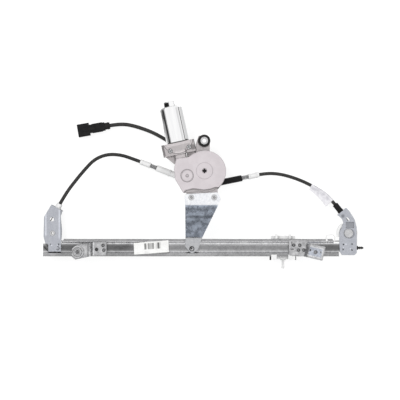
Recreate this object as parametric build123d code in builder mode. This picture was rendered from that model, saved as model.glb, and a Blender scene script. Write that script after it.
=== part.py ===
from build123d import *
from math import atan, cos, degrees, pi, radians, sin, tan
import os

os.makedirs("parts", exist_ok=True)

# Window regulator, lying on its back: +X along the rail, +Y from the rail to the motor, +Z up.
# The origin is the drum axis on the drum housing's back face. Millimetres and degrees.

UP = Vector(0, 0, 1)
MIN_END = (Align.CENTER, Align.CENTER, Align.MIN)

# Clearances
running_gap = 0.05          # radial, shaft in bush
slide_gap = 0.3             # between parts that slide or turn past each other
wire_gap = 0.35             # radial, wire in a hole
seat_gap = 0.05             # radial, fixed round part in its seat

# Heights
cable_height = 11.0         # centre of the lifting cable
housing_depth = 20.0        # drum housing, back to front
pot_floor = 2.5             # floor of the wheel's pot
under_wheel = 4.5           # room between pot floor and wheel
wheel_width = 8.0
gear_height = housing_depth + pot_floor + under_wheel + wheel_width / 2     # centre plane of the gear
gear_front = gear_height + 13.0         # front of the gear housing
cover_sheet = 2.5


def heading(angle):
    """Level unit vector at an angle from +X."""
    return Vector(cos(radians(angle)), sin(radians(angle)), 0)


def facing(start, axis):
    """Plane at a start point whose normal is a level axis, with its own +X straight up."""
    return Plane(origin=start, x_dir=UP, z_dir=axis)


def rod(start, axis, radius, length, mode=Mode.ADD):
    """Round bar from a start point along a level axis, in the piece being built."""
    with Locations(facing(start, axis)):
        Cylinder(radius, length, align=MIN_END, mode=mode)


def post(x, y, low, high, radius, mode=Mode.ADD):
    """Upright round bar between two heights, in the piece being built."""
    with Locations((x, y, low)):
        Cylinder(radius, high - low, align=MIN_END, mode=mode)


def block(x, y, z, mode=Mode.ADD):
    """Box between pairs of x, y and z limits, in the piece being built."""
    with Locations((x[0], y[0], z[0])):
        Box(x[1] - x[0], y[1] - y[0], z[1] - z[0], align=(Align.MIN,) * 3, mode=mode)


def pressed_cup(x, y, low, high, radius, sheet):
    """Dimple pressed down from a plate between two heights until its floor stands on what lies below."""
    with Locations((x, y, low)):
        Cone(radius, radius + sheet, high - low, align=MIN_END)
    with Locations((x, y, low + sheet)):
        Cone(radius - sheet, radius, high - low, align=MIN_END, mode=Mode.SUBTRACT)


def bend_radii(points):
    """Arc radius at each inner point of a cord's route: as large as its two runs allow."""
    radii = []
    for before, here, after in zip(points, points[1:], points[2:]):
        a = Vector(here) - Vector(before)
        b = Vector(after) - Vector(here)
        radii.append(0.45 * min(a.length, b.length) / tan(radians(a.get_angle(b)) / 2))
    return radii


# Rail: a pressed strip with a sunk web, two raised flanges and a lip along the top
rail_left = -258.4
rail_length = 497.4
rail_axis = -122.6          # y of the web's centre line
rail_sheet = 1.2
rail_front = 21.0           # front of the flanges
web_front = 17.0
web_half = 7.3              # half width of the flat web
bend_width = 1.9            # width of the slope between web and flange
rail_half = 13.9            # half height of the rail
lip_depth = 5.0
rail_bend_radius = 0.9
rail_right = rail_left + rail_length
top_flange = (rail_left + 33.6, rail_right - 34.6)
low_flange_end = rail_right - 24.0
flange_cut = 0.7            # the flange cuts reach this far into the web
web_back = web_front - rail_sheet
flange_back = rail_front - rail_sheet
rail_top = rail_axis + rail_half
rail_bottom = rail_axis - rail_half
web_top = rail_axis + web_half
left_mount_x = rail_left + 76.4         # fold of the left mount
right_mount_x = rail_right - 75.0       # fold of the right mount


def on_rail(x, places):
    """Places given from a point on the rail's centre line, as x and y."""
    return [(x + along, rail_axis + across) for along, across in places]


right_mount_hole = on_rail(right_mount_x, [(13.0, -7.0)])[0]
right_mount_bore = 3.2
press_depth = 0.7           # of marks pressed into sheet

# Pulleys at both ends
pulley_y = -99.7
left_pulley_x = rail_left + 14.9
right_pulley_x = rail_right - 8.4
pulley_pitch = 12.6         # radius at the cable's centre
pulley_radius = 14.2
pulley_width = 7.0
pulley_bore = 4.0           # radius of the rivet that it turns on
pulley_dish = 1.6
pulley_hub = 6.4
cable_line = pulley_y - pulley_pitch

# Cable
wire_radius = 0.75
conduit_radius = 2.75

# End brackets, pressed from sheet
plate_sheet = 1.5
plate_front = web_front + plate_sheet
rim_depth = 2.0
left_exit_heading = 61.0    # from the left pulley to the left ferrule
right_exit_heading = 129.0
left_exit_run = 39.3        # straight cable from pulley to tab
right_exit_run = 34.0
ferrule_neck = 3.0


def exit_point(pulley_x, side, towards, run):
    """Where the cable, straight from one side of a pulley, meets the bracket's tab."""
    centre = Vector(pulley_x, pulley_y, cable_height)
    return centre + heading(towards + 90 * side) * pulley_pitch + heading(towards) * run


left_exit = exit_point(left_pulley_x, 1, left_exit_heading, left_exit_run)
right_exit = exit_point(right_pulley_x, -1, right_exit_heading, right_exit_run)
left_axis = heading(left_exit_heading)
right_axis = heading(right_exit_heading)

# Cable drum
drum_pitch = 23.0           # radius at the cable's centre
drum_flange = 26.0
drum_low = 3.2
drum_high = 18.8
drum_flange_sheet = 1.6
drum_hub = 9.0
groove_pitch = 2.0
left_line_heading = 158.9   # outwards along the left outlet
right_line_heading = 11.5
left_line = heading(left_line_heading)
right_line = heading(right_line_heading)
left_foot = heading(left_line_heading + 90) * drum_pitch + UP * cable_height
right_foot = heading(right_line_heading - 90) * drum_pitch + UP * cable_height

# Distances along the outlets, from where the cable leaves the drum
outlet_radius = 5.0
outlet_bore = 2.45
left_tube_end = 73.4
right_tube_end = 56.3
left_spring_length = 11.0
right_spring_length = 11.4
ferrule_length = 17.2
ferrule_radius = 4.2
ferrule_socket = 6.0        # how deep the conduit sits in a ferrule
tail_radius = 2.1
tail_length = 24.0          # the ferrule's tail, through the spring into the outlet
tail_play = 6.0             # wide bore of the outlet beyond the tail
left_ferrule_start = left_tube_end + left_spring_length
right_ferrule_start = right_tube_end + right_spring_length
left_ferrule_end = left_ferrule_start + ferrule_length
right_ferrule_end = right_ferrule_start + ferrule_length

# Worm gear
module = 1.0
wheel_teeth = 55
centre_distance = 32.0
pressure_angle = 20.0
tooth_share = 0.45          # tooth thickness as a share of the pitch
addendum = module
dedendum = 1.2 * module
wheel_pitch = module * wheel_teeth / 2
worm_pitch = centre_distance - wheel_pitch
worm_lead = pi * module
lead_angle = degrees(atan(worm_lead / (2 * pi * worm_pitch)))
worm_turns = 4
worm_root = worm_pitch - dedendum
worm_tip = worm_pitch + addendum
wheel_tip = wheel_pitch + addendum
wheel_low = gear_height - wheel_width / 2
wheel_high = gear_height + wheel_width / 2

# Motor axis: it leans to the left and passes beside the wheel
motor_lean = 12.1
motor_axis = heading(90 + motor_lean)
motor_side = heading(motor_lean)
motor_foot = motor_side * -centre_distance + UP * gear_height
motor_plane = Plane(origin=motor_foot, x_dir=motor_side, z_dir=motor_axis)


def motor_point(along, side=0.0, height=gear_height):
    """Point by its distance along the motor axis from the worm's middle, sideways and in height."""
    level = motor_foot + motor_axis * along + motor_side * side
    return Vector(level.X, level.Y, height)


# Drive shaft through drum and wheel
shaft_radius = 5.0
shaft_low = 1.5
shaft_high = gear_front + 1.9
shaft_nose = 3.9            # radius where it shows in the cover
drive_square = 4.9          # side of the square socket

# Drum housing
housing_wall = 2.4
housing_back = 1.5
housing_inside = drum_flange + 1.0
housing_radius = housing_inside + housing_wall
socket_depth = 6.0
socket_wall = 1.6
housing_outlet = 32.0       # where the left outlet's socket ends, along the line
outlet_start = 12.0         # where both outlets leave the round wall

with BuildPart() as drum_housing:
    post(0, 0, 0, housing_depth, housing_radius)
    rod(left_foot + left_line * outlet_start, left_line, outlet_radius + socket_wall,
        housing_outlet - outlet_start)
    rod(right_foot + right_line * outlet_start, right_line, outlet_radius,
        right_tube_end - outlet_start)
    # Gusset between the right outlet and the round wall, seen past the gear housing
    gusset_thickness = 4.0
    with BuildSketch(Plane.XY.offset(cable_height - gusset_thickness / 2)):
        with BuildLine():
            Polyline((14, -20), (20.6, -30.2), (33.6, -14), (20, -8), close=True)
        make_face()
    extrude(amount=housing_depth - cable_height + gusset_thickness / 2)
    post(0, 0, housing_back, housing_depth, housing_inside, mode=Mode.SUBTRACT)
    post(0, 0, 0, drum_low - slide_gap, shaft_radius + 3)
    post(0, 0, shaft_low - slide_gap, drum_low, shaft_radius + running_gap, mode=Mode.SUBTRACT)
    rod(left_foot + left_line * (housing_outlet - socket_depth), left_line,
        outlet_radius + seat_gap, socket_depth, mode=Mode.SUBTRACT)
    rod(left_foot, left_line, wire_radius + wire_gap, housing_outlet, mode=Mode.SUBTRACT)
    rod(right_foot, right_line, wire_radius + wire_gap, right_tube_end, mode=Mode.SUBTRACT)
    rod(right_foot + right_line * (right_ferrule_start - tail_length - tail_play), right_line,
        outlet_bore, tail_length + tail_play, mode=Mode.SUBTRACT)
drum_housing.part.label = "drum_housing"
export_step(drum_housing.part, "parts/drum_housing.step")

outlet_ring = (50.0, 2.0, 0.6)          # start and length along the line, height
left_tube_start = housing_outlet - socket_depth
with BuildPart() as left_outlet_tube:
    rod(left_foot + left_line * left_tube_start, left_line, outlet_radius,
        left_tube_end - left_tube_start)
    rod(left_foot + left_line * outlet_ring[0], left_line, outlet_radius + outlet_ring[2], outlet_ring[1])
    rod(left_foot, left_line, wire_radius + wire_gap, left_tube_end, mode=Mode.SUBTRACT)
    rod(left_foot + left_line * (left_ferrule_start - tail_length - tail_play), left_line,
        outlet_bore, tail_length + tail_play, mode=Mode.SUBTRACT)
left_outlet_tube.part.label = "left_outlet_tube"
export_step(left_outlet_tube.part, "parts/left_outlet_tube.step")


# Sprung ferrules that take up slack in the cable
def tension_ferrule(foot, line, start):
    """Build a ferrule whose tail slides in the outlet and whose socket holds the conduit."""
    begin = foot + line * start
    with BuildPart() as ferrule:
        rod(begin, line, ferrule_radius, ferrule_length)
        rod(begin, line, ferrule_radius + 0.5, 2.5)
        rod(begin + line * (ferrule_length - 5), line, ferrule_radius + 0.4, 1.5)
        rod(begin - line * tail_length, line, tail_radius, tail_length)
        rod(begin - line * tail_length, line, wire_radius + wire_gap, tail_length + ferrule_length,
            mode=Mode.SUBTRACT)
        rod(begin + line * (ferrule_length - ferrule_socket), line, conduit_radius + seat_gap,
            ferrule_socket, mode=Mode.SUBTRACT)
    return ferrule


left_tension_ferrule = tension_ferrule(left_foot, left_line, left_ferrule_start)
left_tension_ferrule.part.label = "left_tension_ferrule"
export_step(left_tension_ferrule.part, "parts/left_tension_ferrule.step")

right_tension_ferrule = tension_ferrule(right_foot, right_line, right_ferrule_start)
right_tension_ferrule.part.label = "right_tension_ferrule"
export_step(right_tension_ferrule.part, "parts/right_tension_ferrule.step")

spring_wire = 0.6           # radius
spring_radius = 3.4         # to the wire's centre
spring_turns = 4.5
spring_end_gap = 0.1


def tension_spring(foot, line, start, length):
    """Build a compression spring round the ferrule's tail, between outlet and ferrule."""
    height = length - 2 * (spring_wire + spring_end_gap)
    with BuildPart() as coil:
        with BuildLine() as turns:
            Helix(pitch=height / spring_turns, height=height, radius=spring_radius)
        with BuildSketch(Plane(origin=turns.line @ 0, z_dir=turns.line % 0)):
            RegularPolygon(spring_wire, 6)
        sweep(is_frenet=True)
    seat = facing(foot + line * (start + spring_wire + spring_end_gap), line)
    with BuildPart() as spring:
        add(coil.part.moved(seat.location))
    return spring


left_tension_spring = tension_spring(left_foot, left_line, left_tube_end, left_spring_length)
left_tension_spring.part.label = "left_tension_spring"
export_step(left_tension_spring.part, "parts/left_tension_spring.step")

right_tension_spring = tension_spring(right_foot, right_line, right_tube_end, right_spring_length)
right_tension_spring.part.label = "right_tension_spring"
export_step(right_tension_spring.part, "parts/right_tension_spring.step")

# Cable drum, with a groove for each turn and the turns of cable lying in them
groove_depth_gap = 0.1
groove_heights = [cable_height + groove_pitch * k for k in (-2, -1, 0, 1, 2)]
drum_barrel = drum_pitch + 0.2


def ring_section(height, radius):
    """Six-sided section of a ring of cable round the drum, in the sketch being built."""
    with Locations((drum_pitch, height)):
        RegularPolygon(radius, 6, major_radius=False)


with BuildPart() as cable_drum:
    post(0, 0, drum_low, drum_high, drum_barrel)
    post(0, 0, drum_low, drum_low + drum_flange_sheet, drum_flange)
    post(0, 0, drum_high - drum_flange_sheet, drum_high, drum_flange)
    with BuildSketch(Plane.XZ):
        for height in groove_heights:
            ring_section(height, wire_radius + groove_depth_gap)
    revolve(axis=Axis.Z, mode=Mode.SUBTRACT)
    # Weight-saving ring between hub and barrel, open to the front
    with BuildSketch(Plane.XY.offset(drum_low + 3)):
        Circle(drum_barrel - 3.5)
        Circle(drum_hub, mode=Mode.SUBTRACT)
        with PolarLocations(0, 5):
            Rectangle(drum_flange, 2.2, align=(Align.MIN, Align.CENTER), mode=Mode.SUBTRACT)
    extrude(amount=drum_high, mode=Mode.SUBTRACT)
    post(0, 0, drum_low, drum_high, shaft_radius + seat_gap, mode=Mode.SUBTRACT)
cable_drum.part.label = "cable_drum"
export_step(cable_drum.part, "parts/cable_drum.step")

with BuildPart() as drum_windings:
    with BuildSketch(Plane.XZ):
        for height in groove_heights:
            if height != cable_height:
                ring_section(height, wire_radius)
    revolve(axis=Axis.Z)
drum_windings.part.label = "drum_windings"
export_step(drum_windings.part, "parts/drum_windings.step")

with BuildPart() as drive_shaft:
    post(0, 0, shaft_low, gear_front - 2, shaft_radius)
    post(0, 0, gear_front - 2, shaft_high, shaft_nose)
    with BuildSketch(Plane.XY.offset(shaft_high)):
        Rectangle(drive_square, drive_square, rotation=45)
    extrude(amount=-9, mode=Mode.SUBTRACT)
drive_shaft.part.label = "drive_shaft"
export_step(drive_shaft.part, "parts/drive_shaft.step")

# Worm wheel, rubber damper and drive plate
damper_gap = 0.1
lug_angle = 22.0
lug_count = 3
wheel_web = 2.2
wheel_bore = shaft_radius + running_gap
rim_inside = wheel_pitch - dedendum - 3.0
dog_hub = 8.0


def ring_sectors(low, high, inner, outer, width, start):
    """Upright ring sectors spread evenly round the shaft, as one private solid group."""
    with BuildPart() as ring:
        for index in range(lug_count):
            turn = start + index * 360 / lug_count
            with BuildSketch(Plane.XY.offset(low)) as plan:
                with BuildLine():
                    a = heading(turn - width / 2)
                    b = heading(turn + width / 2)
                    Line((a.X * inner, a.Y * inner), (a.X * outer, a.Y * outer))
                    CenterArc((0, 0), outer, turn - width / 2, width)
                    Line((b.X * outer, b.Y * outer), (b.X * inner, b.Y * inner))
                    CenterArc((0, 0), inner, turn - width / 2, width)
                make_face()
            extrude(plan.sketch, amount=high - low)
    return ring.part


gap_lean = tan(radians(pressure_angle))
gap_half = worm_lead * (1 - tooth_share) / 2
gap_direction = UP * cos(radians(lead_angle)) + UP.cross(-motor_side) * sin(radians(lead_angle))
with BuildPart() as tooth_gap:
    with BuildSketch(Plane(origin=motor_side * -wheel_pitch + UP * gear_height,
                           x_dir=-motor_side, z_dir=gap_direction)):
        with BuildLine():
            over = addendum + 0.3
            Polyline((-dedendum, gap_half - dedendum * gap_lean), (over, gap_half + over * gap_lean),
                     (over, -gap_half - over * gap_lean), (-dedendum, dedendum * gap_lean - gap_half),
                     close=True)
        make_face()
    extrude(amount=wheel_width, both=True)

with BuildPart() as worm_wheel:
    with BuildSketch(Plane.XY.offset(wheel_low)):
        Circle(wheel_tip)
        Circle(rim_inside, mode=Mode.SUBTRACT)
    extrude(amount=wheel_width)
    with BuildSketch(Plane.XY.offset(wheel_low)):
        Circle(rim_inside)
        Circle(wheel_bore, mode=Mode.SUBTRACT)
    extrude(amount=wheel_web)
    add(ring_sectors(wheel_low + wheel_web, wheel_high - 1, dog_hub + 1.5, rim_inside, lug_angle, 0))
    with PolarLocations(0, wheel_teeth):
        add(tooth_gap.part, mode=Mode.SUBTRACT)
worm_wheel.part.label = "worm_wheel"
export_step(worm_wheel.part, "parts/worm_wheel.step")

plate_low = wheel_low + wheel_web + 0.2
with BuildPart() as drive_plate:
    with BuildSketch(Plane.XY.offset(plate_low)):
        Circle(dog_hub)
        Circle(shaft_radius + 0.02, mode=Mode.SUBTRACT)
    extrude(amount=wheel_high + 1 - plate_low)
    add(ring_sectors(plate_low, wheel_high - 1, dog_hub - 1, rim_inside - 1, lug_angle,
                     180 / lug_count))
drive_plate.part.label = "drive_plate"
export_step(drive_plate.part, "parts/drive_plate.step")

pad_angle = 180 / lug_count - lug_angle - 1.2
with BuildPart() as rubber_damper:
    for turn in (90 / lug_count, -90 / lug_count):
        add(ring_sectors(plate_low, wheel_high - 1.5, dog_hub + 1.6, rim_inside - damper_gap,
                         pad_angle, turn))
rubber_damper.part.label = "rubber_damper"
export_step(rubber_damper.part, "parts/rubber_damper.step")

# Plan of the gearbox: a round pot for the wheel and a lobe for the worm
plan_centre = (1.0, -1.0)
plan_radius = 33.2
housing_inset = 0.6         # the housing stands this far inside the cover's edge
pot_radius = wheel_tip + 0.8
lobe = [(-12, 30.4), (-26, 21.8), (-45.0, 19.2), (-48.6, 3.0), (-46.5, -14.0), (-33.6, -36.0),
        (-10, -33.5)]
lobe_radius = 3.0
lug_front = gear_front - 4.0

with BuildSketch() as gearbox_plan:
    with Locations(plan_centre):
        Circle(plan_radius)
    with BuildLine():
        FilletPolyline(*lobe, radius=lobe_radius, close=True)
    make_face()
    fillet(gearbox_plan.vertices().sort_by_distance((-14.9, 28.1))[0], 2.5)

# Motor block on the gear housing, and the neck that joins it to the lobe
block_half = 14.5           # half height
block_low = gear_height - block_half
block_high = gear_height + block_half
block_start = 34.0          # along the motor axis
block_end = 53.4
block_sides = (-27.0, 26.0)
block_corner = 3.5
neck_sides = (-10.5, 9.0)
neck_half = 10.5            # half height
neck_corner = (neck_sides[1] - neck_sides[0]) / 2 - 5.75
neck_start = 12.0
brush_room = 14.2           # radius
brush_room_start = block_start + 4.0
spigot_length = 4.0

# Motor can: drawn tube, flattened front and back
can_radius = 18.0
can_thickness = 30.0
can_sheet = 1.6
can_length = 57.6
can_end = block_end + can_length
can_bevel = 2.4             # drawn shoulder at the closed end
cap_radius = 10.6
cap_length = 9.4
cap_wall = 2.0
bush_length = 7.0
bush_radius = 5.5
armature_shaft_radius = 2.6
front_bush_start = 30.0
tail_bush_start = -21.0
tail_room = 1.0


def can_section(radius, thickness):
    """Round tube section with a flat on its front and on its back, in the sketch being built."""
    Circle(radius)
    Rectangle(2 * radius, thickness, mode=Mode.INTERSECT)


# Lug for the rubber mount above the wheel
grommet_y = 48.0
grommet_x = -0.4
grommet_radius = 9.8
grommet_neck = 7.2
grommet_low = gear_height - 7.0
grommet_high = gear_height + 10.0
lug_low = gear_height - 2.0
lug_high = gear_height + 4.0
lug_sides = (-14.2, 8.4)
sleeve_radius = 4.9
sleeve_bore = 3.25
sleeve_flange = 6.0

# Feet under the sheet bracket that ties the gearbox to the rail
bracket_sheet = 1.5
bracket_top = gear_front - 2.0         # back of the bracket where it is screwed on
foot_sides = (-29.0, 21.0)
foot_bottom = -49.0
bracket_screws = [(-21.0, -42.4), (15.5, -42.4)]
screw_radius = 2.4
screw_head = 4.2
screw_depth = 11.0

# Screws that hold the motor block's front, sideways and along the axis
motor_screw_places = [(-14.6, 42.0), (15.6, 42.0)]
motor_screw_pocket = 1.2
motor_screw_play = 0.6      # round the head
motor_screw_head = 3.1
motor_screw_radius = 1.9
motor_screw_length = 8.0

# Lead outlet under the can
lead_radius = 3.0
lead_height = 10.0
lead_heading = 150.2
lead_place = Vector(-50.6, 43.8, lead_height)
lead_axis = heading(lead_heading)
grommet_seat = 5.0          # how deep the lead's grommet sits in the housing
seat_radius = 4.0
chin_low = 4.0
chin_high = gear_height - can_thickness / 2 - slide_gap

with BuildPart() as gear_housing:
    with BuildSketch(Plane.XY.offset(housing_depth)):
        offset(gearbox_plan.sketch, amount=-housing_inset)
    extrude(amount=gear_front - housing_depth)
    # Lower edge of the pot is stepped back in front, where the bracket's feet stand out
    with BuildSketch(Plane.XY.offset(lug_front)):
        with BuildLine():
            Spline((-36, -40), (-29.5, -31.6), (-14.4, -28.9), (-4, -29.9), (6.1, -29.9),
                   (16.2, -26.9), (24, -28.6))
            Polyline((24, -28.6), (24, -44), (-36, -44), (-36, -40))
        make_face()
    extrude(amount=gear_front, mode=Mode.SUBTRACT)
    block(foot_sides, (foot_bottom, -24), (bracket_top - 13, bracket_top - 3))
    for x, y in bracket_screws:
        post(x, y, bracket_top - 13, bracket_top, screw_head + 1.6)
    # Neck and motor block
    with BuildSketch(motor_plane.offset(neck_start)):
        with Locations(((neck_sides[0] + neck_sides[1]) / 2, 0)):
            RectangleRounded(neck_sides[1] - neck_sides[0], 2 * neck_half, neck_corner)
    extrude(amount=block_start + 2 - neck_start)
    with BuildSketch(motor_plane.offset(block_start)):
        with Locations(((block_sides[0] + block_sides[1]) / 2, 0)):
            RectangleRounded(block_sides[1] - block_sides[0], 2 * block_half, block_corner)
    extrude(amount=block_end - block_start)
    with BuildSketch(motor_plane.offset(block_end)):
        can_section(can_radius - can_sheet - seat_gap, can_thickness - 2 * (can_sheet + seat_gap))
    extrude(amount=spigot_length)
    # Gussets from the block's corners down to the pot
    with BuildSketch(Plane.XY.offset(housing_depth)):
        with BuildLine():
            Polyline((-64.0, 23.5), (-48.0, 10.5), (-44, 18), (-50, 32), close=True)
        make_face()
        with BuildLine():
            Polyline((-13.5, 31.5), (-12, 29), (-27, 19), (-29, 33), (-20, 36), close=True)
        make_face()
    extrude(amount=gear_height - housing_depth)
    # Lug of the rubber mount
    with BuildSketch(Plane.XY.offset(lug_low)):
        with BuildLine():
            Polyline((lug_sides[0], 26), (lug_sides[0], grommet_y - 6), (lug_sides[0] + 5, grommet_y + 8),
                     (lug_sides[1] - 3, grommet_y + 8), (lug_sides[1], grommet_y - 4),
                     (lug_sides[1], 26), close=True)
        make_face()
        with Locations((grommet_x, grommet_y)):
            Circle(grommet_neck + seat_gap, mode=Mode.SUBTRACT)
    extrude(amount=lug_high - lug_low)
    # Chin that the lead comes out of
    with BuildSketch(Plane.XY.offset(chin_low)):
        with BuildLine():
            Polyline((-57, 31.5), (-53.6, 38.5), (-48.4, 47.6), (-44, 45.2), (-42.5, 34.5), close=True)
        make_face()
    extrude(amount=chin_high - chin_low)
    with BuildSketch(Plane.XY.offset(chin_high)):
        with BuildLine():
            Polyline((-57, 31.5), (-55.2, 36), (-44, 40), (-42.5, 34.5), close=True)
        make_face()
    extrude(amount=block_low + 2 - chin_high)
    # Wheel pot, shaft bush and worm bores
    post(0, 0, housing_depth + pot_floor, gear_front, pot_radius, mode=Mode.SUBTRACT)
    post(0, 0, housing_depth, wheel_low - slide_gap, shaft_radius + 3.5)
    post(0, 0, housing_depth, gear_front, shaft_radius + running_gap, mode=Mode.SUBTRACT)
    rod(motor_point(tail_bush_start + bush_length), motor_axis, worm_tip + 0.8,
        front_bush_start - tail_bush_start - bush_length, mode=Mode.SUBTRACT)
    rod(motor_point(tail_bush_start), motor_axis, bush_radius + seat_gap, bush_length,
        mode=Mode.SUBTRACT)
    rod(motor_point(tail_bush_start - tail_room), motor_axis, armature_shaft_radius + 0.4,
        tail_room, mode=Mode.SUBTRACT)
    rod(motor_point(front_bush_start), motor_axis, bush_radius + seat_gap + 0.9,
        brush_room_start - front_bush_start, mode=Mode.SUBTRACT)
    rod(motor_point(brush_room_start), motor_axis, brush_room, 40, mode=Mode.SUBTRACT)
    rod(lead_place - lead_axis * grommet_seat, lead_axis, seat_radius + seat_gap, grommet_seat + 9,
        mode=Mode.SUBTRACT)
    # Screw holes
    for x, y in bracket_screws:
        post(x, y, bracket_top - screw_depth, bracket_top, screw_radius + seat_gap,
             mode=Mode.SUBTRACT)
    for side, along in motor_screw_places:
        place = motor_point(along, side, block_high)
        post(place.X, place.Y, block_high - motor_screw_length, block_high,
             motor_screw_radius + seat_gap, mode=Mode.SUBTRACT)
        post(place.X, place.Y, block_high - motor_screw_pocket, block_high,
             motor_screw_head + motor_screw_play, mode=Mode.SUBTRACT)
gear_housing.part.label = "gear_housing"
export_step(gear_housing.part, "parts/gear_housing.step")

# Cover
ring_radius = 13.0
small_ring = (-27.7, -7.7)
small_ring_radius = 10.2
ring_height = 0.5
ring_wall = 1.4
boss_radius = 2.6
cover_front = gear_front + cover_sheet
cover_bevel = 0.8

with BuildSketch(Plane.XY.offset(gear_front)) as cover_plan:
    add(gearbox_plan.sketch)
    with BuildLine():
        lower_edge = FilletPolyline((-37, -40), (-31, -31.5), (-18, -28.0), (-1, -30.3), (10.5, -28.6),
                                    (18, -25.6), (26, -27.4), radius=[3, 9, 14, 20, 10])
        Polyline(lower_edge @ 1, (26, -46), (-37, -46), lower_edge @ 0)
    make_face(mode=Mode.SUBTRACT)

with BuildPart() as gear_cover:
    extrude(cover_plan.sketch, amount=cover_sheet - cover_bevel)
    with BuildSketch(Plane.XY.offset(cover_front - cover_bevel)):
        add(cover_plan.sketch.moved(Location((0, 0, cover_sheet - cover_bevel))))
    extrude(amount=cover_bevel, taper=45)
    post(0, 0, cover_front, cover_front + ring_height, ring_radius)
    post(*small_ring, cover_front, cover_front + ring_height, small_ring_radius)
    post(*small_ring, cover_front, cover_front + ring_height, small_ring_radius - ring_wall,
         mode=Mode.SUBTRACT)
    post(*small_ring, cover_front, cover_front + ring_height, boss_radius)
    post(0, 0, gear_front, cover_front + ring_height, shaft_nose + running_gap, mode=Mode.SUBTRACT)
gear_cover.part.label = "gear_cover"
export_step(gear_cover.part, "parts/gear_cover.step")

# Rubber mount and its steel sleeve
with BuildPart() as mounting_grommet:
    post(grommet_x, grommet_y, grommet_low, lug_low, grommet_radius)
    post(grommet_x, grommet_y, lug_low, lug_high, grommet_neck)
    post(grommet_x, grommet_y, lug_high, grommet_high, grommet_radius)
    fillet(mounting_grommet.edges().filter_by(GeomType.CIRCLE).group_by(Axis.Z)[-1], 1.6)
    post(grommet_x, grommet_y, grommet_low, grommet_high, sleeve_radius + 0.02, mode=Mode.SUBTRACT)
mounting_grommet.part.label = "mounting_grommet"
export_step(mounting_grommet.part, "parts/mounting_grommet.step")

with BuildPart() as grommet_sleeve:
    post(grommet_x, grommet_y, grommet_low, grommet_high, sleeve_radius)
    post(grommet_x, grommet_y, grommet_high, grommet_high + 1.0, sleeve_flange)
    post(grommet_x, grommet_y, grommet_low, grommet_high + 1.0, sleeve_bore, mode=Mode.SUBTRACT)
grommet_sleeve.part.label = "grommet_sleeve"
export_step(grommet_sleeve.part, "parts/grommet_sleeve.step")

# Motor can and what turns in it
with BuildPart() as motor_can:
    with BuildSketch(motor_plane.offset(block_end)):
        can_section(can_radius, can_thickness)
    extrude(amount=can_length - can_bevel)
    with BuildSketch(motor_plane.offset(can_end - can_bevel)):
        can_section(can_radius, can_thickness)
    extrude(amount=can_bevel, taper=38)
    with BuildSketch(motor_plane.offset(can_end)):
        Circle(cap_radius)
    extrude(amount=cap_length, taper=6)
    fillet(motor_can.faces().sort_by(Axis(motor_foot, motor_axis))[-1].edges(), 1.8)
    with BuildSketch(motor_plane.offset(block_end)):
        can_section(can_radius - can_sheet, can_thickness - 2 * can_sheet)
    extrude(amount=can_length - can_bevel - can_sheet, mode=Mode.SUBTRACT)
    rod(motor_point(can_end - 6), motor_axis, bush_radius + seat_gap + 0.6, cap_length + 6 - cap_wall,
        mode=Mode.SUBTRACT)
motor_can.part.label = "motor_can"
export_step(motor_can.part, "parts/motor_can.step")

cap_bush_end = can_end + cap_length - cap_wall
shaft_end = cap_bush_end - 0.4
with BuildPart() as thread:
    with BuildLine() as spiral:
        Helix(pitch=worm_lead, height=worm_turns * worm_lead, radius=worm_root)
    with BuildSketch(Plane(origin=spiral.line @ 0, x_dir=(1, 0, 0), z_dir=spiral.line % 0)):
        with BuildLine():
            half = worm_lead * tooth_share / 2
            low = -dedendum - 0.3
            Polyline((-0.3, half - low * gap_lean), (addendum + dedendum, half - addendum * gap_lean),
                     (addendum + dedendum, addendum * gap_lean - half), (-0.3, low * gap_lean - half),
                     close=True)
        make_face()
    sweep(is_frenet=True)

worm_start = -worm_turns * worm_lead / 2
journal = armature_shaft_radius
with BuildPart() as armature_shaft:
    add(thread.part.moved(motor_plane.offset(worm_start).location))
    rod(motor_point(worm_start - 1), motor_axis, worm_root, worm_turns * worm_lead + 2)
    rod(motor_point(tail_bush_start - 0.5), motor_axis, journal, shaft_end - tail_bush_start + 0.5)
armature_shaft.part.label = "armature_shaft"
export_step(armature_shaft.part, "parts/armature_shaft.step")


# Bearing bushes
def bearing_bush(start, length, radius):
    """Build a sintered bush round the armature shaft."""
    with BuildPart() as bush:
        rod(motor_point(start), motor_axis, radius, length)
        rod(motor_point(start), motor_axis, journal + running_gap, length, mode=Mode.SUBTRACT)
    return bush


tail_bush = bearing_bush(tail_bush_start, bush_length, bush_radius)
tail_bush.part.label = "tail_bush"
export_step(tail_bush.part, "parts/tail_bush.step")

front_bush = bearing_bush(front_bush_start, bush_length, bush_radius + 0.9)
front_bush.part.label = "front_bush"
export_step(front_bush.part, "parts/front_bush.step")

cap_bush = bearing_bush(cap_bush_end - bush_length, bush_length, bush_radius + 0.6)
cap_bush.part.label = "cap_bush"
export_step(cap_bush.part, "parts/cap_bush.step")

# Armature: slotted core, end windings and commutator
core_radius = 10.6
core_start = block_end + 10.6
core_length = can_length - 25.6
slot_count = 8
winding_radius = 9.4
winding_length = 5.0
commutator_radius = 6.4
commutator_start = brush_room_start + 3.0
commutator_length = 12.0
with BuildPart() as armature_core:
    with BuildSketch(motor_plane.offset(core_start)):
        Circle(core_radius)
        Circle(journal + 0.02, mode=Mode.SUBTRACT)
        with PolarLocations(core_radius - 2.6, slot_count):
            Rectangle(4.4, 3.0, mode=Mode.SUBTRACT)
        with PolarLocations(core_radius, slot_count):
            Rectangle(3.0, 1.4, mode=Mode.SUBTRACT)
    extrude(amount=core_length)
armature_core.part.label = "armature_core"
export_step(armature_core.part, "parts/armature_core.step")

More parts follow.
